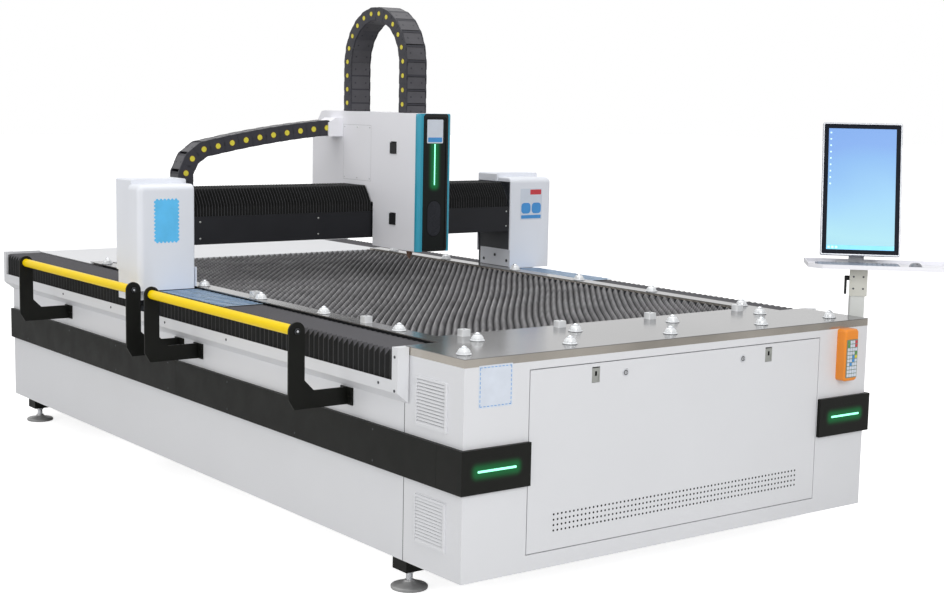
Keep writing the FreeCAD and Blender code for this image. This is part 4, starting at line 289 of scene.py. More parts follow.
WHITE = coated("white_powder_coat", "e0e1e4", 0.42, 0.015, 1.6, 420, 0.06)
HOUSING_WHITE = coated("housing_white", "f4f4f9", 0.42, 0.01, 1.6, 420, 0.05)
COVER_WHITE = coated("gantry_cover_white", "e9ecf3", 0.4, 0.015, 1.8, 420, 0.05)
LIGHT_GREY = coated("light_grey_paint", "d6d8d5", 0.4, 0.03, 5)
BLACK = coated("black_powder_coat", "11120f", 0.5, 0.12, 9, 600, 0.16, specular=0.2)
PLATE_BLACK = coated("beam_plate_black", "16171c", 0.42, 0.14, 5, 500, 0.1, specular=0.3)
FRAME_PAINT = coated("frame_paint", "3a3d42", 0.55, 0.1, 5)
YELLOW = coated("yellow_tube_paint", "fcd802", 0.36, 0.03, 4, specular=0.14)
TEAL = coated("teal_paint", "289eba", 0.34, 0.04, 5, coat=0.25)
GLOSS = coated("black_gloss_panel", "0c1211", 0.3, 0.1, 3, 60, 0.01, specular=0.25, patches=0.03)
GLOSS_RIM = coated("gloss_rim", "0e1112", 0.22, 0.1, 4, 60, 0.01, specular=0.4)
OVAL_GREY = coated("oval_grey", "22242b", 0.3, 0.1, 8, 60, 0.01, specular=0.3)
# The worktop plates' top faces (above level 999) are painted darker and bluer than their edges: painted shade on the
# tops.
BRUSHED = coated("brushed_plate", "c4beb5", 0.19, 0.3, 1.3, 400, 0.02, metal=0.8, patches=0.05,
                 stretch=(1, 0.25, 1), fade=(996, 999, (1, 1, 1), (0.47, 0.5, 0.56)))
# The slats are darkened almost to black below their tips: painted shade where the slats shade one another's roots.
SLAT = coated("slat_steel", "b0afb1", 0.45, 0.28, 7, 160, 0.08, metal=0.2, patches=0.1,
              fade=(968, 993, (0.06, 0.06, 0.065), (1, 1, 1)))
SCALE = coated("scale_steel", "6a92ba", 0.3, 0.16, 7, 200, 0.03, metal=0.4, stretch=(1, 5, 1))
# Pale steel for a strip along each scale plate's front edge: a painted highlight.
SCALE_EDGE_HIGHLIGHT = coated("scale_edge_highlight", "c8dae8", 0.3, 0.08, 9, metal=0.3)
RAIL = coated("ground_rail_steel", "a8aaae", 0.24, 0.05, 8, metal=0.9, stretch=(8, 1, 8))
CLOTH = coated("bellows_cloth", "111212", 0.66, 0.16, 20, 900, 0.3, specular=0.25, patches=0.08, sheen=0.06)
# Lighter cloth on the ridges of the pleats: a painted highlight along each fold.
CLOTH_RIDGE_HIGHLIGHT = coated("bellows_ridge_highlight", "444447", 0.6, 0.2, 26, 700, 0.2, specular=0.3)
# The same black cloth painted lighter on the upper faces of the side bellows: painted light from above.
CLOTH_LIT_TOP = coated("bellows_lit_top", "464549", 0.6, 0.16, 24, 900, 0.3, specular=0.3)
CHAIN = coated("chain_plastic", "2f2f36", 0.45, 0.12, 14, 380, 0.12, specular=0.4)
CHAIN_COVER = coated("chain_cover_plastic", "444348", 0.42, 0.12, 14, 380, 0.12)
DOT = coated("yellow_pivot_cap", "ded23e", 0.42, 0.08, 40)
CAP_SHADOW = coated("pivot_cap_shadow", "5c421e", 0.6, 0.1, 40)
DARK_PLASTIC = coated("black_plastic", "1a1b1d", 0.48, 0.1, 12, 500, 0.18, specular=0.35)
DARK_HOLE = coated("dark_hollow", "0c0c0d", 0.9, 0.1, 20, specular=0.1)
# Dark strips set into the gaps beside the side panels: painted shadow.
SEAM = coated("shadow_seam", "3c3d40", 0.9, 0.1, 20, specular=0.1)
SOFT_SEAM = coated("pale_seam", "c8c8cb", 0.7, 0.06, 20)
ZINC = coated("zinc_plate", "dee0e4", 0.3, 0.06, 30, 300, 0.04, metal=0.6)
GREEN_GREY = coated("sleeve_paint", "cecec5", 0.42, 0.03, 5)
BRIGHT = coated("bright_zinc", "e8eaec", 0.32, 0.05, 30, 300, 0.04, metal=0.25)
CHROME = coated("ball_chrome", "e2e5e8", 0.1, 0.05, 60, 200, 0.01, metal=0.95)
ZINC_DARK = coated("oiled_screw", "4a4c50", 0.34, 0.1, 40, metal=0.8)
SATIN = coated("satin_latch", "a8aaa6", 0.4, 0.06, 30, metal=0.6)
CAST = coated("foot_cast", "a8a8a8", 0.42, 0.16, 14, 180, 0.25, metal=0.35)
MOTOR = coated("motor_black", "222326", 0.4, 0.08, 10, specular=0.35)
HEAD_METAL = coated("anodised_metal", "9ea0a5", 0.32, 0.06, 10, metal=0.8, stretch=(1, 1, 9))
COPPER = coated("copper_nozzle", "d8ac94", 0.3, 0.1, 60, metal=0.6)
ORANGE = coated("orange_pendant", "f08e1e", 0.34, 0.04, 10, coat=0.3)
KEYPAD = coated("pendant_keypad", "7a8c80", 0.4, 0.06, 20)
KEYS = coated("keyboard_keys", "929cac", 0.42, 0.03, 16, 500, 0.08)
KEY_BASE = coated("keyboard_base", "6a7282", 0.4, 0.05, 12)
MOUSE_GREY = coated("mouse_grey", "7a7c82", 0.3, 0.05, 12, coat=0.2)
SILVER = coated("monitor_silver", "a8aaaf", 0.34, 0.04, 8, metal=0.5, stretch=(1, 1, 12))
BEZEL = coated("monitor_bezel", "0f1520", 0.3, 0.1, 12, specular=0.05)
BLUE_FIELD = coated("light_blue_field", "62c6fa", 0.4, 0.05, 18)
PALE_FIELD = coated("pale_field", "d6dde8", 0.4, 0.04, 18)
RED_FIELD = coated("red_field", "ce3c46", 0.4, 0.05, 18)
GREEN_FIELD = coated("green_field", "609854", 0.4, 0.05, 18)
STRONG_BLUE = coated("blue_field", "4696d8", 0.4, 0.05, 18)
GREEN_LIGHT = lit("green_light", "8cffcd", 1.4)
CHAIN_LOOKS = [CHAIN, DOT, CHAIN_COVER, CAP_SHADOW]

LOOKS = {
    WHITE: "cabinet_shell cabinet_front_frame side_panels rear_panel front_door rear_deck channel_covers "
           "end_caps louvre_vents",
    HOUSING_WHITE: "carriage_housing console_tray",
    COVER_WHITE: "gantry_covers",
    LIGHT_GREY: "console_bracket console_post cabinet_equipment",
    BLACK: "side_bands handrail_brackets",
    PLATE_BLACK: "beam_cover_plate",
    FRAME_PAINT: "bed_frame gantry_beam gantry_ends slat_carriers",
    YELLOW: "handrail_tubes",
    SILVER: "monitor_stand",
    TEAL: "carriage_front_frame",
    GLOSS: "carriage_front_panel",
    BRUSHED: "worktop_plates",
    RAIL: "rails_and_racks beam_rails bearing_blocks pinion_left pinion_right",
    DARK_PLASTIC: "carriage_catch_upper carriage_catch_lower clamp_lever",
    SATIN: "latch_paddle_left latch_paddle_right",
    MOTOR: "drive_motors",
    ZINC: "door_hinge_pins cam_lock_left cam_lock_right",
    HEAD_METAL: "carriage_saddle cutting_head",
}


def dress_nodes():
    """Puts the materials on the CAD nodes that stay."""
    for material, names in LOOKS.items():
        for name in names.split():
            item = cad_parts[name]
            if not item.material_slots:
                item.data.materials.append(material)
            for holder in item.material_slots:
                holder.material = material


# ---- camera, light and floor

CAMERA_PLACE = (-3484.3, -4682.9, 1975.3)
CAMERA_TURN = (82.268, -1.0738, -36.4777)
LENS, SENSOR, SIGHT = 60.51, 36, 200
SHIFT = (0.00763, 0.01183)
SOFTBOXES = [("front_softbox", (-1500, -7000, 4200), (1150, 1500, 700), (5.0, 3.5), 275),
             ("left_softbox", (-7500, 2500, 3800), (0, 2300, 700), (6.0, 3.5), 150),
             ("top_softbox", (1150, 2300, 6500), (1150, 2300, 900), (5.0, 6.0), 175)]
WORLD_LIGHT = 0.5
FLOOR_REACH, FLOOR_TONE, FLOOR_GLOW = 60000, 0.74, 0.82


def stand(name, data, where, turn):
    """Puts a camera or a lamp into the scene."""
    item = bpy.data.objects.new(name, data)
    item.location = at(*where)
    item.rotation_euler = turn
    SCENE.collection.objects.link(item)
    return item


def camera():
    data = bpy.data.cameras.new("camera")
    data.lens, data.sensor_width, data.clip_end = LENS, SENSOR, SIGHT
    data.shift_x, data.shift_y = SHIFT
    SCENE.camera = stand("camera", data, CAMERA_PLACE, [radians(angle) for angle in CAMERA_TURN])


def studio():
    """A world that is white to look at and dimmer as light, softboxes and a pale floor."""
    SCENE.view_settings.view_transform = "Standard"
    SCENE.world = bpy.data.worlds.new("studio")
    SCENE.world.use_nodes = True
    graph = Graph(SCENE.world.node_tree)
    path = graph.add("LightPath").node.outputs
    seen = path["Is Camera Ray"]
    for name in ("Is Glossy Ray", "Is Transmission Ray"):
        seen = graph.reckon("Math", "MAXIMUM", seen, path[name])
    strength = graph.add("MapRange", inputs={"Value": seen, "To Min": WORLD_LIGHT, "To Max": 1.0})
    graph.fill(SCENE.world.node_tree.nodes["Background"], {"Color": (1, 1, 1, 1), "Strength": strength})
    for name, centre, target, size, power in SOFTBOXES:
        data = bpy.data.lights.new(name, "AREA")
        data.shape = "RECTANGLE"
        data.size, data.size_y = size
        data.energy = power
        stand(name, data, centre, (at(*target) - at(*centre)).to_track_quat("-Z", "Y").to_euler())

    far = FLOOR_REACH
    floor = Shape()
    floor.face([(-far, -far, 0), (far, -far, 0), (far, far, 0), (-far, far, 0)])
    material, graph, shader = fresh("studio_floor")
    item = floor.item("floor", [material])
    graph.fill(shader, {"Base Color": (FLOOR_TONE, FLOOR_TONE, FLOOR_TONE, 1), "Roughness": 0.9})
    share = graph.reckon("Math", "MULTIPLY", graph.add("LightPath", "Is Camera Ray"), FLOOR_GLOW)
    glowing = graph.add("Emission", inputs={"Strength": share})
    both = graph.add("AddShader", inputs={0: shader.outputs[0], 1: glowing})
    graph.fill(material.node_tree.nodes["Material Output"], {"Surface": both})


# ---- covers that stretch

# A long run is divided into parts at these shares.
NEAR = [0.01 * 1.96 ** step for step in range(6)]
LIMITS = NEAR + [1 - share for share in reversed(NEAR)]


def stretch_run(name, cells, bodies, materials, node, bevel=0.0):
    """Makes cells, each a share of the motion and a function that adds the cell to a shape, into pieces grouped by
    share: the first and the last group ride on the two bodies, and those between stay where they stand."""
    groups = {}
    for share, build in cells:
        number = sum(1 for limit in LIMITS if share > limit)
        build(groups.setdefault(number, Shape()))
    made = []
    for number, shape in sorted(groups.items()):
        item = shape.item("%s_%02d" % (name, number), materials, bevel)
        if number in (0, len(LIMITS)):
            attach(item, bodies[0] if number == 0 else bodies[1])
        else:
            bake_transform(item)
        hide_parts(node)
        made.append(item)
    return made


def fixed_share(item):
    """Bakes the piece's place into its mesh; it stays where it stands and rides on no body."""
    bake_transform(item)


def cloth_run(name, start, stop, pitch, build, bodies, node, materials, thick):
    """A pleated cover along an axis. build(shape, a, b, c) adds the fold from a over its ridge b to c."""
    count = max(1, round((stop - start) / pitch))
    step = (stop - start) / (2 * count)
    marks = [start + step * number for number in range(2 * count + 1)]
    cells = [(((fold[0] + fold[2]) / 2 - start) / (stop - start), lambda shape, fold=fold: build(shape, *fold))
             for fold in zip(marks[::2], marks[1::2], marks[2::2])]
    for item in stretch_run(name, cells, bodies, materials, node):
        cloth = item.modifiers.new("cloth", "SOLIDIFY")
        cloth.thickness = thick * MM
        cloth.offset = -1


def side_bellows_pieces():
    """Pleated covers over the side rails, with each ridge's upper outer corner folded down."""
    pitch, deep, corner, rim, sag, lap = 38.5, 8, 27, 7, 5, 0.9
    crease, crease_share = 2, 0.05
    for node, bodies in (("side_bellows_front", ("bed", "gantry")), ("side_bellows_rear", ("gantry", "bed"))):
        low, high = place(node)
        base, top, inner = low.z, high.z, RAIL_COVER - low.x

        def row(side, y, share):
            """The outline at a place; share runs from 0 in a valley to 1 on a ridge."""
            out, level = deep * (1 - share), top - sag * (1 - share)
            outline = [(out, base), (out, level - corner * share - 1), (deep + rim, level), (inner, level),
                       (inner, base)]
            return [((low.x + x) if side < 0 else (high.x - x), y, z) for x, z in outline]

        def build(shape, y_0, y_1, y_2):
            marks = [(y_0, 0), (y_0 + crease, crease_share), (y_1 - lap, 1), (y_1 + lap, 1),
                     (y_2 - crease, crease_share), (y_2, 0)]
            for side in (-1, 1):
                rows = [row(side, y, share) for y, share in marks]
                # On the slopes up to each ridge the upper faces (tag 2) are painted lighter than the side walls and
                # the valley creases, as painted light from above; the ridge band (tag 1) carries a painted highlight.
                for first, second, kind in zip(rows, rows[1:], (0, 2, 1, 2, 0)):
                    for n in range(len(first) - 1):
                        face = [first[n], first[n + 1], second[n + 1], second[n]]
                        shape.face(face if side < 0 else face[::-1], 0 if n in (0, 3) and kind == 2 else kind)

        cloth_run(node + "_folds", low.y, high.y, pitch, build, bodies, node,
                  [CLOTH, CLOTH_RIDGE_HIGHLIGHT, CLOTH_LIT_TOP], 1.5)


def beam_bellows_pieces():
    """Finer pleats over the beam, deeper at the bevel's corners."""
    low, high = place("beam_bellows")
    carriage_left, carriage_right = (corner.x for corner in place("carriage_front_frame"))
    pitch, deep, lap, gap = 17, 9, 0.7, 0.3
    front, rear, base, top = low.y, high.y, low.z, high.z
    ridge = [(front, base), (front, top - 80), (front + 26, top - 38), (front + 56, top), (rear, top), (rear, base)]
    valley = [(front + deep, base), (front + deep, top - 98), (front + 44, top - 50), (front + 82, top - deep),
              (rear - deep, top - deep), (rear - deep, base)]

    def build(shape, x_0, x_1, x_2):
        rows = [[(x, y, z) for y, z in outline]
                for x, outline in ((x_0, valley), (x_1 - lap, ridge), (x_1 + lap, ridge), (x_2, valley))]
        # The narrow band over each ridge (tag 1) carries the painted highlight.
        for one, two, tag in zip(rows, rows[1:], (0, 1, 0)):
            count = len(one)
            shape.add(one + two, [(n, count + n, count + n + 1, n + 1) for n in range(count - 1)], tag)

    for side, start, stop, bodies in (("left", low.x, carriage_left - gap, ("gantry", "carriage")),
                                      ("right", carriage_right + gap, high.x, ("carriage", "gantry"))):
        cloth_run("beam_bellows_" + side, start, stop, pitch, build, bodies, "beam_bellows",
                  [CLOTH, CLOTH_RIDGE_HIGHLIGHT], 1.2)


def scale_plate_pieces():
    """Steel scales on the bellows in front of the gantry. Each slides under the next one."""
    low, high = place("scale_plates")
    pitch, base, edge = 44, low.z, 7
    reach = pitch * 1.3
    for number in range(round((high.y - low.y - reach) / pitch) + 1):
        back = high.y - reach - number * pitch
        shape = Shape()
        for left, right in ((low.x + 2, RAIL_COVER), (WIDE - RAIL_COVER, high.x - 2)):
            outline = [(back, base + 2.4), (back + reach, base), (back + reach, base + 1.3), (back, base + 3.8)]
            shape.prism(outline, lambda a, b, end: (right if end else left, a, b))
            # A pale strip along each plate's front edge: a painted highlight.
            shape.box((left, back, base + 2.6), (right, back + edge, base + 4.0), 1)
        item = shape.item("scale_plate_%02d" % number, [SCALE, SCALE_EDGE_HIGHLIGHT], bevel=0.3)
        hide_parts("scale_plates")
        fixed_share(item)


# ---- table

def slat_pieces():
    """Toothed slats across the well. Laid in by hand, they drift sideways a little from one to the next."""
    low, high = place("slats")
    teeth, pitch, sheet = 48, 47, 3
    notch, flat, lift = 22, 0.04, 1.2
    base, tip, left, right = low.z, high.z, low.x, high.x
    step = (right - left) / teeth
    random.seed(4)
    shape = Shape()
    for number in range(round((high.y - low.y - sheet) / pitch) + 1):
        y = low.y + number * pitch
        lean = random.uniform(-0.6, 0.6)
        drift = 6.5 * sin(3 * log(1 + number / 2.2)) + 2 * sin(number * 0.33)
        drift += random.uniform(-1.2, 1.2)
        outline = [(left, base), (right, base), (right, tip - notch * 0.5)]
        for tooth in range(teeth):
            across = right - step * (tooth + 0.5) + drift
            crest = tip - random.uniform(0, lift)
            outline.append((min(right - 0.5, across + step * flat), crest))
            outline.append((max(left + 0.5, across - step * flat), crest))
            if tooth < teeth - 1:
                outline.append((across - step * 0.5, tip - notch))
        outline.append((left, tip - notch * 0.5))
        shape.prism(outline, lambda a, b, end: (a, y + sheet * end + lean * ((b - base) / (tip - base)), b))
    piece(shape, "toothed_slats", "bed", [SLAT], node="slats")


UNIT_PLACES = [
    (200, 730), (200, 1330), (200, 1900), (200, 2480), (200, 3660),
    (2100, 600), (2100, 1230), (2100, 1800), (2100, 2360), (2100, 3030), (2100, 3590),
    (70, 100), (598, 100), (1150, 100), (1702, 100), (2150, 100),
    (322, 350), (839.5, 350), (1403, 350), (1959.6, 350),
]
STOP_PLACES = [(212, 1000), (349.6, 478), (860.2, 478), (1386.9, 478), (1943.5, 478), (212, 1980)]


def fitting_pieces():
    """Ball transfer units, and the small blocks beside them that line a sheet up with the table."""
    low, high = place("table_fittings")
    top, ball, stop_half, stop_tall = low.z, 13.6, 20, 28
    globe = [polar(ball, angle) for angle in (-20, 0, 15, 30, 45, 60, 75, 86)]
    turned = [  # height of the foot, profile, sides, material
        (0, [(30.6, 0), (30.6, 1)], 28, 2),
        (1, [(30, 0), (30.5, 1), (30.5, 2.4), (29.5, 3.4), (22, 3.8)], 28, 0),
        (3, [(25.5, 0), (25.5, 1.4)], 24, 2),
        (0, [(24, 4), (24.4, 7), (24, 11), (22.6, 16), (20, 20.5), (16.4, 24.5), (14.5, 25.5)], 24, 0),
        (25, [(14.4, 0), (14.4, 0.9)], 20, 2),
        (0, [(out, high.z - top - ball + up) for out, up in globe], 20, 1)]
    ribs = [polar(23.4, 45 * rib + 22.5) for rib in range(8)]
    bolts = [(-19, -19), (19, -19), (19, 19), (-19, 19)]
    shape = Shape()
    for x, y in UNIT_PLACES:
        for up, profile, sides, tag in turned:
            shape.lathe((x, y, top + up), profile, sides, tag=tag)
        for spots, profile, sides in ((ribs, [(3, 0), (2.4, 11)], 6), (bolts, [(2.6, 0), (2.6, 1.2), (2, 1.8)], 8)):
            for dx, dy in spots:
                shape.lathe((x + dx, y + dy, top + 4), profile, sides)
    for x, y in STOP_PLACES:
        shape.prism(rounded(x - stop_half, y - stop_half, x + stop_half, y + stop_half, 3, 2),
                    lambda a, b, end: (a, b, top + stop_tall * end))
        shape.lathe((x, y, top + stop_tall), [(5, 0), (5, 0.8), (4, 1.2)], 12, tag=2)
    piece(shape, "ball_units", "bed", [BRIGHT, CHROME, ZINC_DARK], node="table_fittings", smooth=35)


# ---- energy chains

def chain_link(shape, start, end, side, tall, wide, dot=True):
    """One closed link: side plates that overlap, a cover above and below with small screws, and pivot caps."""
    start, end, side = Vector(start), Vector(end), Vector(side).normalized()
    along = (end - start).normalized()
    up = side.cross(along)
    pitch = (end - start).length
    half, lip = tall / 2, 9

    def slab(outline, near, far, tag=0):
        shape.prism(outline, lambda a, b, which: start + along * a + up * b + side * (far if which else near), tag)

    def bar(first, last, low, high, near, far, tag=0):
        slab([(pitch * first, low), (pitch * last, low), (pitch * last, high), (pitch * first, high)], near, far, tag)

    for base, inward in ((0, 1), (wide, -1)):
        outer, inner = half * 0.99, half * 0.97
        slab(arc((0, 0), outer, 90, 270, 10) + [(pitch * 0.55, -outer), (pitch * 0.55, outer)],
             base, base + inward * 5)
        slab(arc((pitch, 0), inner, -90, 90, 10) + [(pitch * 0.3, inner), (pitch * 0.3, -inner)],
             base + inward * 1.2, base + inward * lip)
        if dot:
            # Under each yellow pivot cap a wider dark disc (tag 3) is its painted shadow.
            for radius, proud, tag in ((0.42, 0.5, 3), (0.34, 1.2, 1)):
                slab(arc((0, 0), half * radius, 0, 336, 14), base - inward * proud, base + inward * 2, tag)
    for level, thick in ((half * 0.82, half * 0.15), (-half * 0.82, -half * 0.15)):
        low, high = sorted((level, level + thick))
        bar(0.05, 0.95, low, high, lip, wide - lip, 2)
        bar(-0.1, 0.1, low, high - thick * 0.35 * (level > 0), lip, wide - lip)
        low, high = sorted((level, level + thick * 1.12))
        for share in (0.2, 0.8):
            across = lip + (wide - 2 * lip) * share
            bar(0.42, 0.54, low, high, across - pitch * 0.06, across + pitch * 0.06)


def path_points(path, pitch):
    """Evenly spaced pivots along a path of points close together."""
    points = [Vector(point) for point in path]
    lengths = [0.0]
    for a, b in zip(points, points[1:]):
        lengths.append(lengths[-1] + (b - a).length)
    count = round(lengths[-1] / pitch)
    found = []
    for step in range(count + 1):
        goal = lengths[-1] * step / count
        number = bisect_left(lengths, goal, 1, len(lengths) - 1)
        share = (goal - lengths[number - 1]) / (lengths[number] - lengths[number - 1])
        found.append(points[number - 1].lerp(points[number], share))
    return found


def chain_run(node, pivots, side, tall, wide, bodies, along, turn, level, ends, dot=True):
    """A chain with a bend, as pieces. Along its way, turn is the bend's centre and ends are where the upper and the
    lower run end; level divides the two. The bend is one piece that stays where it stands; each run is cut into
    pieces by share, the end ones riding on the bodies."""
    axis = list(along).index(1)
    runs = {}
    for start, end in zip(pivots, pivots[1:]):
        middle = (start + end) / 2
        above = middle.z > level
        beyond, reach = middle[axis] - turn, ends[0 if above else 1] - turn
        part = "bend" if beyond * reach < 0 else "upper" if above else "lower"
        share = 0.5 + (0.5 if above else -0.5) * beyond / reach
        runs.setdefault(part, []).append(
            (share, lambda shape, link=(start, end): chain_link(shape, *link, side, tall, wide, dot)))
    for part, cells in runs.items():
        if part == "bend":
            shape = Shape()
            for _, build in cells:
                build(shape)
            item = shape.item(node + "_bend", CHAIN_LOOKS, bevel=0.5)
            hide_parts(node)
            fixed_share(item)
        else:
            stretch_run("%s_%s" % (node, part), cells, bodies, CHAIN_LOOKS, node, bevel=0.5)


def cross_chain_pieces():
    """Chain from behind the beam over its bend to the carriage."""
    y, tall, wide, pitch = 2800, 85, 100, 85
    start, fixed, turn, level, radius = HOUSING_LEFT - 96, 1130, 430, 1513, 173
    arch = arc((1651.90428, -4217.125), 6028.261345, 95.128877852, 101.694656488)
    path = arch + arc((turn, level), radius, 90, 270) + [(turn, level - radius), (fixed, level - radius)]
    chain_run("cross_chain", path_points([(a, y, b) for a, b in path], pitch), (0, 1, 0), tall, wide,
              ("gantry", "carriage"), (1, 0, 0), turn, level, (start, fixed))


def head_chain_pieces():
    """Chain that stands over the carriage and leads down to the cutting head."""
    tall, wide, pitch = 70, 130, 75
    left = HOUSING_LEFT + (HOUSING_WIDE - wide) / 2
    radius, front, level, foot = 270, 2268, 2133, 1850
    rear = front + 2 * radius
    path = [(rear, foot), (rear, level)] + arc((front + radius, level), radius, 0, 180)
    path += [(front, level), (front, foot)]
    pivots = path_points([(left, a, b) for a, b in path], pitch)
    shape = Shape()
    for start, end in zip(pivots, pivots[1:]):
        chain_link(shape, start, end, (1, 0, 0), tall, wide)
    item = shape.item("head_chain_links", CHAIN_LOOKS, bevel=0.5)
    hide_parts("head_chain")
    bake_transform(item)


def side_chain_pieces():
    """Long chain in the tray outside the right side."""
    x = place("side_chain")[0].x
    tall, wide, pitch = 45, 76, 60
    radius, base, turn, fixed, head = 75, 679, 3475, 2535, 2780.3
    path = [(head, base + 2 * radius), (turn, base + 2 * radius)] + arc((turn, base + radius), radius, 90, -90)
    path += [(turn, base), (fixed, base)]
    chain_run("side_chain", path_points([(x, a, b) for a, b in path], pitch), (1, 0, 0), tall, wide,
              ("bed", "gantry"), (0, 1, 0), turn, base + radius, (head, fixed), dot=False)


# ---- console

POST = (2350, 113)
CONSOLE_TURN = radians(-43.7)
LEAN = radians(13)
SCREEN_HIGH = 1570
SCREEN_PIVOT = 76
TRAY_FRONT, TRAY_FLOOR = -170, 1229


def on_console(point):
    """A point right of, behind and above the post's foot, in the machine."""
    x, y, z = point
    return Vector((POST[0] + x * cos(CONSOLE_TURN) - y * sin(CONSOLE_TURN),
                   POST[1] + x * sin(CONSOLE_TURN) + y * cos(CONSOLE_TURN), z))


def on_screen(point):
    """A point of the upright monitor, leant back on its pin."""
    x, y, z = point
    back, up = y - SCREEN_PIVOT, z - SCREEN_HIGH
    return on_console((x, SCREEN_PIVOT + back * cos(LEAN) + up * sin(LEAN),
                       SCREEN_HIGH - back * sin(LEAN) + up * cos(LEAN)))


def monitor_pieces():
    """Shell, bezel, a sunk screen with plain tiles, and on the back the vents and the lug."""
    wide, tall, deep, edge, bar = 362, 622, 32, 27.5, 20
    face = 40 - deep / 2
    waist, rear, glass = face + deep * 0.6, face + deep, face + 2
    left, right, low, high = -wide / 2, wide / 2, SCREEN_HIGH - tall / 2, SCREEN_HIGH + tall / 2
    shape = Shape(on_screen)

    def loop(inset, radius, y, more=0):
        outline = rounded(left + inset, low + inset + more, right - inset, high - inset - more, radius)
        return [(a, y, b) for a, b in outline]

    rows = [(3, 5, waist, 0), (0, 8, face + deep * 0.5, 0), (0, 8, face + 3, 0), (2, 7, face, 0), (7, 5, face, 0),
            (11, 4, face + 1.2, 1), (27, 1, face + 1.2, 1), (edge, 1, glass, 1)]
    for one, two in zip(rows, rows[1:]):
        shape.tube([loop(*one[:3]), loop(*two[:3])], two[3])
    shape.face(loop(edge, 1, glass), 2)
    shape.face(loop(3, 5, waist)[::-1], 1)
    hump = loop(52, 10, rear, 20)
    shape.tube([loop(40, 14, waist, 20), hump], 1)
    shape.face(hump[::-1], 1)
    # The vents on the back are dark strips (tag 3): painted shade in the slots.
    for number in range(12):
        z = SCREEN_HIGH + 90 + number * 9
        shape.box((-90, rear - 0.5, z), (90, rear + 0.6, z + 3), 3)
    shape.box((-23.7, rear - 1, SCREEN_HIGH - 9), (23.7, rear + 8, SCREEN_HIGH + 9), 1)
    shape.lathe((-34, SCREEN_PIVOT, SCREEN_HIGH), [(5, 0), (5, 68)], 16, "x", 4)
    x, z = left + edge, low + edge
    shape.box((x, face + 1.4, z), (right - edge, glass, z + bar), 5)
    tiles = [(x + 6 + number * 17, z + 5, 10) for number in range(3)]
    tiles += [(x + 7, high - edge - 24 - number * 30, 7) for number in range(9)]
    for x, z, size in tiles:
        shape.box((x, face + 0.9, z), (x + size, face + 1.5, z + size), 6)
    piece(shape, "monitor_portrait", "screen",
          [SILVER, BEZEL, screen_picture("screen_backdrop", low, high), DARK_HOLE, ZINC,
           lit("task_strip", "60b0d6", 0.9), lit("plain_tiles", "b0d6f4", 0.85)],
          node="monitor")


def keyboard_pieces():
    """A wedge with rows of keys, each with a main block and a number block."""
    front, left, wide, deep, floor, margin = TRAY_FRONT + 32, -198, 376, 128, TRAY_FLOOR, 8
    wedge = [(front, floor), (front + deep, floor), (front + deep, floor + 13), (front + 3, floor + 7),
             (front, floor + 5)]
    shape = Shape(on_console)
    shape.prism(wedge, lambda a, b, end: (left + wide * end, a, b))
    layout = [[1.0] * count for count in (15, 14, 14, 13, 12)] + [[1.2, 1.0, 1.2, 5.6, 1.2, 1.0, 1.2]]
    pitch = (deep - 14) / len(layout)
    main = wide * 0.76
    pad = left + margin + main + margin
    for row, keys in enumerate(layout):
        y = front + margin + (len(layout) - 1 - row) * pitch
        base = floor + 7 + (y - front) / deep * 6
        for x, long, widths in ((left + margin, main, keys), (pad, left + wide - 6 - pad, [1.0] * 4)):
            for width in widths:
                end_x = x + long / sum(widths) * width
                shape.prism(rounded(x + 1, y + 1, end_x - 1, y + pitch - 1.5, 2, 2),
                            lambda a, b, end: (a, b, base - 1 + 5 * end), 1)
                x = end_x
    piece(shape, "keyboard_keys", "console", [KEY_BASE, KEYS], node="keyboard")


def mouse_pieces():
    shape = Shape(on_console)
    x, y, rings, sides = 245, TRAY_FRONT + 75, 8, 24
    half_wide, half_long, tall = 29.5, 52, 29
    rows = []
    for ring in range(rings):
        swell, rise = polar(1, 88 * ring / (rings - 1))
        swell = swell ** 0.6
        spots = [polar(1, 360 * side / sides) for side in range(sides)]
        rows.append([(x + half_wide * swell * copysign(abs(a) ** 0.8, a),
                      y + half_long * swell * copysign(abs(b) ** 0.8, b),
                      TRAY_FLOOR + 1 + tall * rise * (1 - 0.12 * b * swell)) for a, b in spots])
    shape.tube(rows, closed=True)
    shape.box((x - 3, y - 38, TRAY_FLOOR + 20), (x + 3, y - 18, TRAY_FLOOR + 29), 1)
    piece(shape, "mouse_body", "console", [MOUSE_GREY, DARK_PLASTIC], node="mouse", smooth=50)


def pendant_pieces():
    """The hand pendant's shell and its keypad with a few coloured keys."""
    low, high = place("pendant_body")
    key_low, key_high = place("pendant_keypad")
    rows = [[(a, y, b) for a, b in rounded(low.x + inset, low.z + inset, high.x - inset, high.z - inset, 14)]
            for inset, y in ((0, high.y), (0, low.y + 8), (4, low.y + 1), (8, low.y))]
    shell = Shape()
    for one, two in zip(rows, rows[1:]):
        shell.tube([one, two])
    shell.face(rows[-1])
    shell.face(rows[0][::-1])
    piece(shell, "pendant_shell", "bed", [ORANGE], node="pendant_body", smooth=40)

    front, left, right = key_low.y, low.x + 7, high.x - 7
    columns, rows, margin, gap_x, gap_z = 4, 10, 3, 1.4, 1.6
    cell_x = (right - left - 2 * margin) / columns
    cell_z = (key_high.z - key_low.z - 2 * margin) / rows
    coloured = {(9, 0): 3, (9, 3): 4, (8, 3): 4, (8, 0): 3, (5, 2): 5, (4, 2): 5, (3, 1): 5, (6, 3): 3, (5, 3): 6}
    pad = Shape()
    pad.sheet(rounded(left, key_low.z, right, key_high.z, 4, 3), front + 0.8, key_high.y)
    for column in range(columns):
        for row in range(rows):
            x, z = left + margin + column * cell_x, key_low.z + margin + row * cell_z
            pad.sheet(rounded(x + gap_x, z + gap_z, x + cell_x - gap_x, z + cell_z - gap_z, 2, 2),
                      front - 0.6, front + 1, coloured.get((row, column), 1))
    piece(pad, "pendant_keys", "bed",
          [KEYPAD, PALE_FIELD, DARK_HOLE, GREEN_FIELD, RED_FIELD, STRONG_BLUE, DOT], node="pendant_keypad")


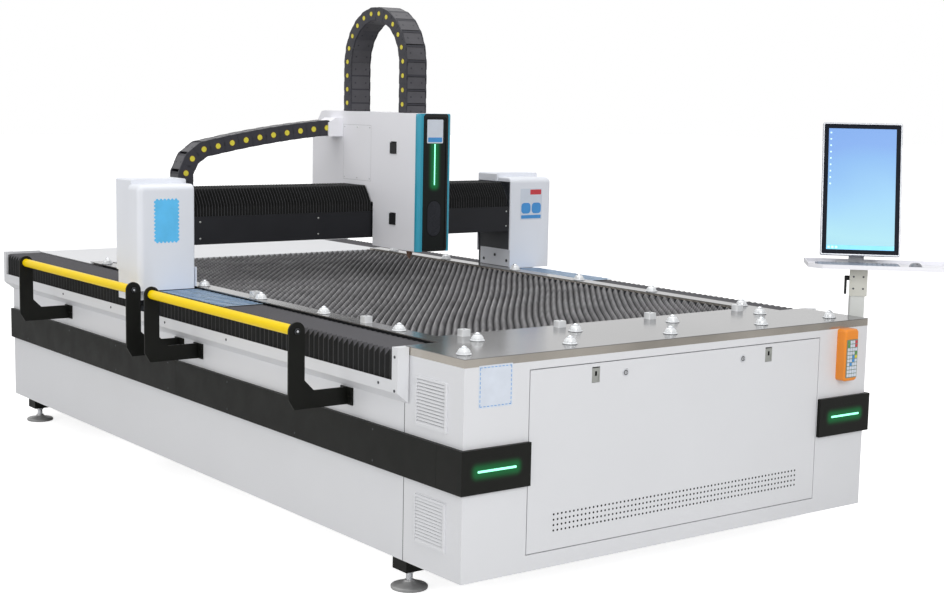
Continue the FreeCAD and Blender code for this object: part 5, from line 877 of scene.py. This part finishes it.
def foot_pieces():
    """Levelling feet: a welded block, a threaded stud with its nut and a dished disc."""
    low, high = place("levelling_feet")
    inset, block, tall, disc_top, stud = 76, 50, 50, 36, 13.6
    disc = [(68, 0), (74, 1.5), (76, 5), (76, 12), (73, 15), (58, 18), (40, 22), (26, 27), (21, 32), (20, disc_top)]
    blocks, feet = Shape(), Shape()
    for x in (low.x + inset, high.x - inset):
        for y in (low.y + inset, high.y - inset):
            blocks.box((x - block, y - block, high.z - tall), (x + block, y + block, high.z - 0.2))
            feet.lathe((x, y, 0), disc, 40)
            feet.lathe((x, y, disc_top), [(stud, 0), (stud, high.z - tall - disc_top)], 20, tag=1)
            feet.lathe((x, y, high.z - tall - 14), [(20, 0), (22, 1.5), (22, 12), (20, 14)], 6, tag=1)
    piece(blocks, "foot_blocks", "bed", [BLACK], node="levelling_feet", bevel=2)
    piece(feet, "foot_discs", "bed", [CAST, ZINC], node="levelling_feet", smooth=35)


def nozzle_piece():
    """Copper tip of the cutting head, on the axis of the head."""
    low, high = place("cutting_head")
    tip, axis_y = [(2, 0.1), (4.3, 0.1), (14.4, 24), (30.4, 101), (36.3, 102)], 2277
    shape = Shape()
    shape.lathe(((low.x + high.x) / 2, axis_y, low.z), tip, 28)
    piece(shape, "nozzle_tip", "head", [COPPER], smooth=30)


# ---- small parts on the sheet metal

def door_perforation():
    """Four rows of round holes near the foot of the door, drawn as dark discs: painted shade in the holes."""
    shape = Shape()
    left, right, low, pitch, rows, columns = 453, 1851, 277, 22, 4, 68
    for row in range(rows):
        for column in range(columns):
            x = left + (right - left) * column / (columns - 1)
            shape.lathe((x, -0.35, low + pitch * row), [(4.6, 0), (4.2, 0.25)], 8, "y")
    piece(shape, "door_holes", "door", [DARK_HOLE])


def stamped(left, low, right, high, pitch, radius):
    """A rectangle whose edge has round teeth like a stamp's."""
    outline = []
    corners = [(left, low), (right, low), (right, high), (left, high)]
    for (x_0, z_0), (x_1, z_1) in zip(corners, corners[1:] + corners[:1]):
        long = hypot(x_1 - x_0, z_1 - z_0)
        count = round(long / pitch)
        along = ((x_1 - x_0) / long, (z_1 - z_0) / long)
        for tooth in range(count):
            for angle in range(0, 181, 36):
                back, out = polar(radius, angle)
                way = long * (tooth + 0.5) / count - back
                outline.append((x_0 + along[0] * way + along[1] * out, z_0 + along[1] * way - along[0] * out))
    return outline


def plates(y, *rows):
    """Thin plates on an upright face, each an outline, a material and how far it lies from the face."""
    shape = Shape()
    for outline, tag, (proud, foot) in rows:
        shape.sheet(outline, y - proud, y - foot, tag)
    return shape


def labels():
    """Plain fields of colour where the machine has its labels, and brighter marks on them."""
    field, mark = (0.6, 0.1), (0.9, 0.5)
    y = place("front_door")[0].y
    bed = plates(y, (rounded(68, 805, 231, 970, 4), 1, field))
    dash, half, count = 11, 1.3, 9
    left, right, low, high = 74, 225, 812, 962
    for number in range(count):
        x = left + (right - left - dash) * number / (count - 1)
        z = low + (high - low - dash) * number / (count - 1)
        for level in (low, high):
            bed.box((x, y - 1, level - half), (x + dash, y - 0.5, level + half))
        for side in (left + 1, right - 1):
            bed.box((side - half, y - 1, z), (side + half, y - 0.5, z + dash))
    piece(bed, "cabinet_field", "bed", [STRONG_BLUE, PALE_FIELD])
    gantry = plates(place("beam_cover_plate")[0].y - 10, (stamped(-66, 1233, 56, 1438, 19, 7.5), 0, field),
                    (rounded(2225, 1270, 2384, 1450, 5), 1, field), (rounded(2296, 1415, 2377, 1444, 3), 2, mark),
                    (rounded(2232, 1277, 2377, 1297, 3), 3, mark), (rounded(2232, 1306, 2300, 1368, 20), 3, mark),
                    (rounded(2309, 1306, 2377, 1368, 20), 3, mark))
    piece(gantry, "cover_fields", "gantry", [BLUE_FIELD, PALE_FIELD, RED_FIELD, STRONG_BLUE])
    head = plates(place("carriage_front_panel")[0].y, (rounded(1262, 1728, 1363, 1850, 5), 0, field),
                  (rounded(1268, 1734, 1357, 1758, 3), 1, mark))
    piece(head, "carriage_field", "carriage", [PALE_FIELD, STRONG_BLUE])


def carriage_frame():
    """Black surround of the carriage's panel, and the dark oval field low on it."""
    low, high = place("carriage_front_frame")
    panel_low, panel_high = place("carriage_front_panel")
    front, face = low.y, panel_low.y
    outer = rounded(low.x + 31, low.z + 0.5, high.x - 22, high.z - 0.5, 16)
    inner = rounded(panel_low.x + 5, panel_low.z + 5, panel_high.x - 5, panel_high.z - 5, 12)
    rims = [(outer, front - 0.2), (outer, front - 1.6), (inner, front - 1.6), (inner, face - 0.1)]
    shape = Shape()
    shape.tube([[(x, y, z) for x, z in outline] for outline, y in rims])
    across, level, half_tall, cap = (panel_low.x + panel_high.x) / 2, 1337, 95, 45
    for inset, tag, depth in ((0, 1, 0.5), (3, 2, 0.9)):
        half, up = cap - inset, half_tall - inset
        shape.sheet(rounded(across - half, level - up, across + half, level + up, half, 10),
                    face - depth, face - 0.1, tag)
    piece(shape, "panel_surround", "carriage", [GLOSS_RIM, DARK_HOLE, OVAL_GREY], smooth=40)


GLOW_REACH, GLOW_POWER, GLOW_COLOUR = 48, 1.8, "00be64"


def glow(name, paint, bars, face, body, strength):
    """A thin skin round each light bar with the bar's light on it as painted light: an emission that fades with
    distance from the bar.
    """
    for side, (low, high) in enumerate(bars):
        material = paint.copy()
        material.name = "%s_skin_%d" % (name, side)
        graph = Graph(material.node_tree)
        off = graph.reckon("VectorMath", "SUBTRACT", graph.add("TexCoord", "Object"), at(*((low + high) / 2)))
        size = graph.reckon("VectorMath", "ABSOLUTE", off)
        beyond = graph.reckon("VectorMath", "SUBTRACT", size, (high - low) * MM / 2)
        away = graph.reckon("VectorMath", "LENGTH", graph.reckon("VectorMath", "MAXIMUM", beyond, (0, 0, 0)))
        fall = graph.add("MapRange", 0, {"Value": away, "From Min": 0, "From Max": GLOW_REACH * MM, "To Min": 1,
                                         "To Max": 0}, interpolation_type="SMOOTHERSTEP")
        level = graph.reckon("Math", "MULTIPLY", graph.reckon("Math", "POWER", fall, GLOW_POWER), strength)
        graph.fill(material.node_tree.nodes["Principled BSDF"],
                   {"Emission Color": linear(GLOW_COLOUR), "Emission Strength": level})
        out = GLOW_REACH
        shape = Shape()
        shape.sheet(rounded(low.x - out, low.z - out, high.x + out, high.z + out, out), face - 0.3, face)
        piece(shape, "%s_glow_%d" % (name, side), body, [material])


def light_bars():
    """Green light bars in their slots, with their light painted onto the paint round them."""
    low, high = place("led_bars")
    long, thin, sunk = 189.4, 4.4, 4.6
    band = place("side_bands")[0].y
    bars = [(low, Vector((low.x + long, high.y, high.z))), (Vector((high.x - long, low.y, low.z)), high)]
    glow("band", BLACK, bars, band, "bed", 0.22)
    shape, middle = Shape(), (low.z + high.z) / 2
    for first, last in bars:
        shape.sheet(rounded(first.x + 3, middle - thin, last.x, middle + thin, 3), high.y - sunk, band + 0.5)
    piece(shape, "band_lights", "bed", [GREEN_LIGHT], node="led_bars")
    low, high = place("carriage_light")
    panel = place("carriage_front_panel")[0].y
    glow("carriage", GLOSS, [(low, high)], panel, "carriage", 0.26)
    shape, middle, thin = Shape(), (low.x + high.x) / 2, 3.4
    shape.sheet(rounded(middle - thin, low.z, middle + thin, high.z, 3), panel - 0.6, panel + 0.5)
    piece(shape, "carriage_light_bar", "carriage", [GREEN_LIGHT], node="carriage_light")


def screw(shape, x, y, z, axis, radius, proud=2.4, tag=0):
    """A low round head that points along an axis, or against it after a minus."""
    way = -1 if axis[0] == "-" else 1
    profile = [(radius, 0), (radius, way * proud * 0.7), (radius * 0.8, way * proud)]
    shape.lathe((x, y, z), profile, 12, axis[-1], tag)


SLEEVE = 65
SLEEVE_TOP = 1240
RAIL_ENDS = [(805, -1), (2153, 1), (2345, -1), (3733, 1)]
BLOCK_SCREWS = [(2500, 1036), (2610, 1062), (2715, 1032)]


def screws():
    """Screws of the covers, of the console's sleeve and of the handrails."""
    gantry = Shape()
    for x in (183, 873, 2130):
        for z in (1238, 1322):
            screw(gantry, x, 2490, z, "-y", 5)
    for y, z in BLOCK_SCREWS:
        screw(gantry, 2147, y, z, "-x", 9, 3, 1)
        screw(gantry, 153, y, z, "x", 9, 3, 1)
    piece(gantry, "gantry_screws", "gantry", [SATIN, ZINC_DARK], smooth=40)
    sleeve, front, half = Shape(on_console), -SLEEVE / 2 - 6, SLEEVE / 2 + 8
    for x in (-22, 22):
        for z in (SLEEVE_TOP - 60, SLEEVE_TOP - 115):
            sleeve.lathe((x, front, z), [(4.5, 0), (4.5, -1.6), (3.5, -2.2)], 10, "y")
    sleeve.sheet(rounded(-half, 1090, half, 1212, 4, 3), front - 0.3, front + 0.2, 1)
    piece(sleeve, "sleeve_screws", "console", [ZINC_DARK, GREEN_GREY], smooth=40)
    bed = Shape()
    band_low, band_high = place("side_bands")
    for x, band_x, axis in ((-COVER_OUT, band_low.x, "-x"), (WIDE + COVER_OUT, band_high.x, "x")):
        for y, z in [(380, 825), (380, 960)] + [(y, 842) for y in range(494, 4500, 636)]:
            screw(bed, x, y, z, axis, 6)
        for y in range(590, 4500, 620):
            for z in (band_low.z + 22, band_high.z - 22):
                screw(bed, band_x, y, z, axis, 4.5, 0.8)
    piece(bed, "cover_screws", "bed", [ZINC_DARK], smooth=40)
    head = Shape()
    for y in (2516, 2640, 2768):
        for z in (1522, 1796):
            screw(head, HOUSING_LEFT, y, z, "-x", 4)
    piece(head, "housing_screws", "carriage", [SOFT_SEAM], smooth=40)
    rails = Shape()
    low, high = place("handrail_tubes")
    x, z = (low.x + high.x) / 2, (low.z + high.z) / 2
    for y, way in RAIL_ENDS:
        rails.lathe((x, y, z), [(13.4, way * 0.2), (13.4, way * 6.4), (11, way * 7.2)], 6, "y")
        rails.lathe((x, y, z), [(5.5, way * 7.2), (5, way * 7.8)], 12, "y", 1)
    piece(rails, "rail_bolts", "bed", [ZINC_DARK, ZINC], smooth=30)


def latch_faces():
    """The slots of the paddle latches and the faces of the cam locks."""
    for side in ("left", "right"):
        low, high = place("latch_paddle_" + side)
        x, z = (low.x + high.x) / 2, (low.z + high.z) / 2
        # Each slot is a dark plate on the paddle: painted shade in the slot.
        slot = plates(low.y, (rounded(x - 5, z - 4, x + 5, z + 15, 2, 2), 0, (0.4, 0)))
        piece(slot, "latch_%s_slot" % side, "latch_" + side, [DARK_HOLE])
    for side in ("left", "right"):
        low, high = place("cam_lock_" + side)
        x, y, z = low.x + 17, low.y, (low.z + high.z) / 2
        face = Shape()
        face.lathe((x, y, z), [(10.5, 0), (10.5, -0.4)], 20, "y")
        face.lathe((x, y - 0.4, z), [(7.5, 0), (7.5, -0.4)], 20, "y", 1)
        # The keyway is a dark slot: painted shade in it.
        face.box((x - 1.4, y - 1.2, z - 5.5), (x + 1.4, y - 0.6, z + 5.5))
        piece(face, "lock_%s_face" % side, "lock_" + side, [DARK_HOLE, ZINC])


def seams():
    """Fine lines round the housing's side cover, and dark strips along the cabinet's side panels that are painted
    shadow in the gaps.
    """
    head, half = Shape(), 0.9
    x, front, rear, low, high = HOUSING_LEFT - 0.4, 2504, 2781, 1510, 1808
    for y in (front, rear):
        head.box((x, y - half, low - half), (x + 0.5, y + half, high + half))
    for z in (low, high):
        head.box((x, front - half, z - half), (x + 0.5, rear + half, z + half))
    piece(head, "housing_seams", "carriage", [SOFT_SEAM])
    bed, half = Shape(), 1.6
    band_foot, band_head = 480, 653
    low, high = place("side_panels")
    for x, way in ((low.x, -1), (high.x, 1)):
        near, far = sorted((x - way * 2, x + way * 0.35))
        bed.box((near, low.y - half, low.z + 1), (far, low.y + half, band_foot))
        bed.box((near, low.y - half, band_head), (far, low.y + half, high.z - 1))
    piece(bed, "panel_seams", "bed", [SEAM])


for build in (camera, studio, dress_nodes, slat_pieces, fitting_pieces, side_bellows_pieces, beam_bellows_pieces,
              scale_plate_pieces, cross_chain_pieces, head_chain_pieces, side_chain_pieces, monitor_pieces,
              keyboard_pieces, mouse_pieces, pendant_pieces, door_perforation, labels, screws, latch_faces, seams,
              foot_pieces, nozzle_piece, light_bars, carriage_frame):
    build()
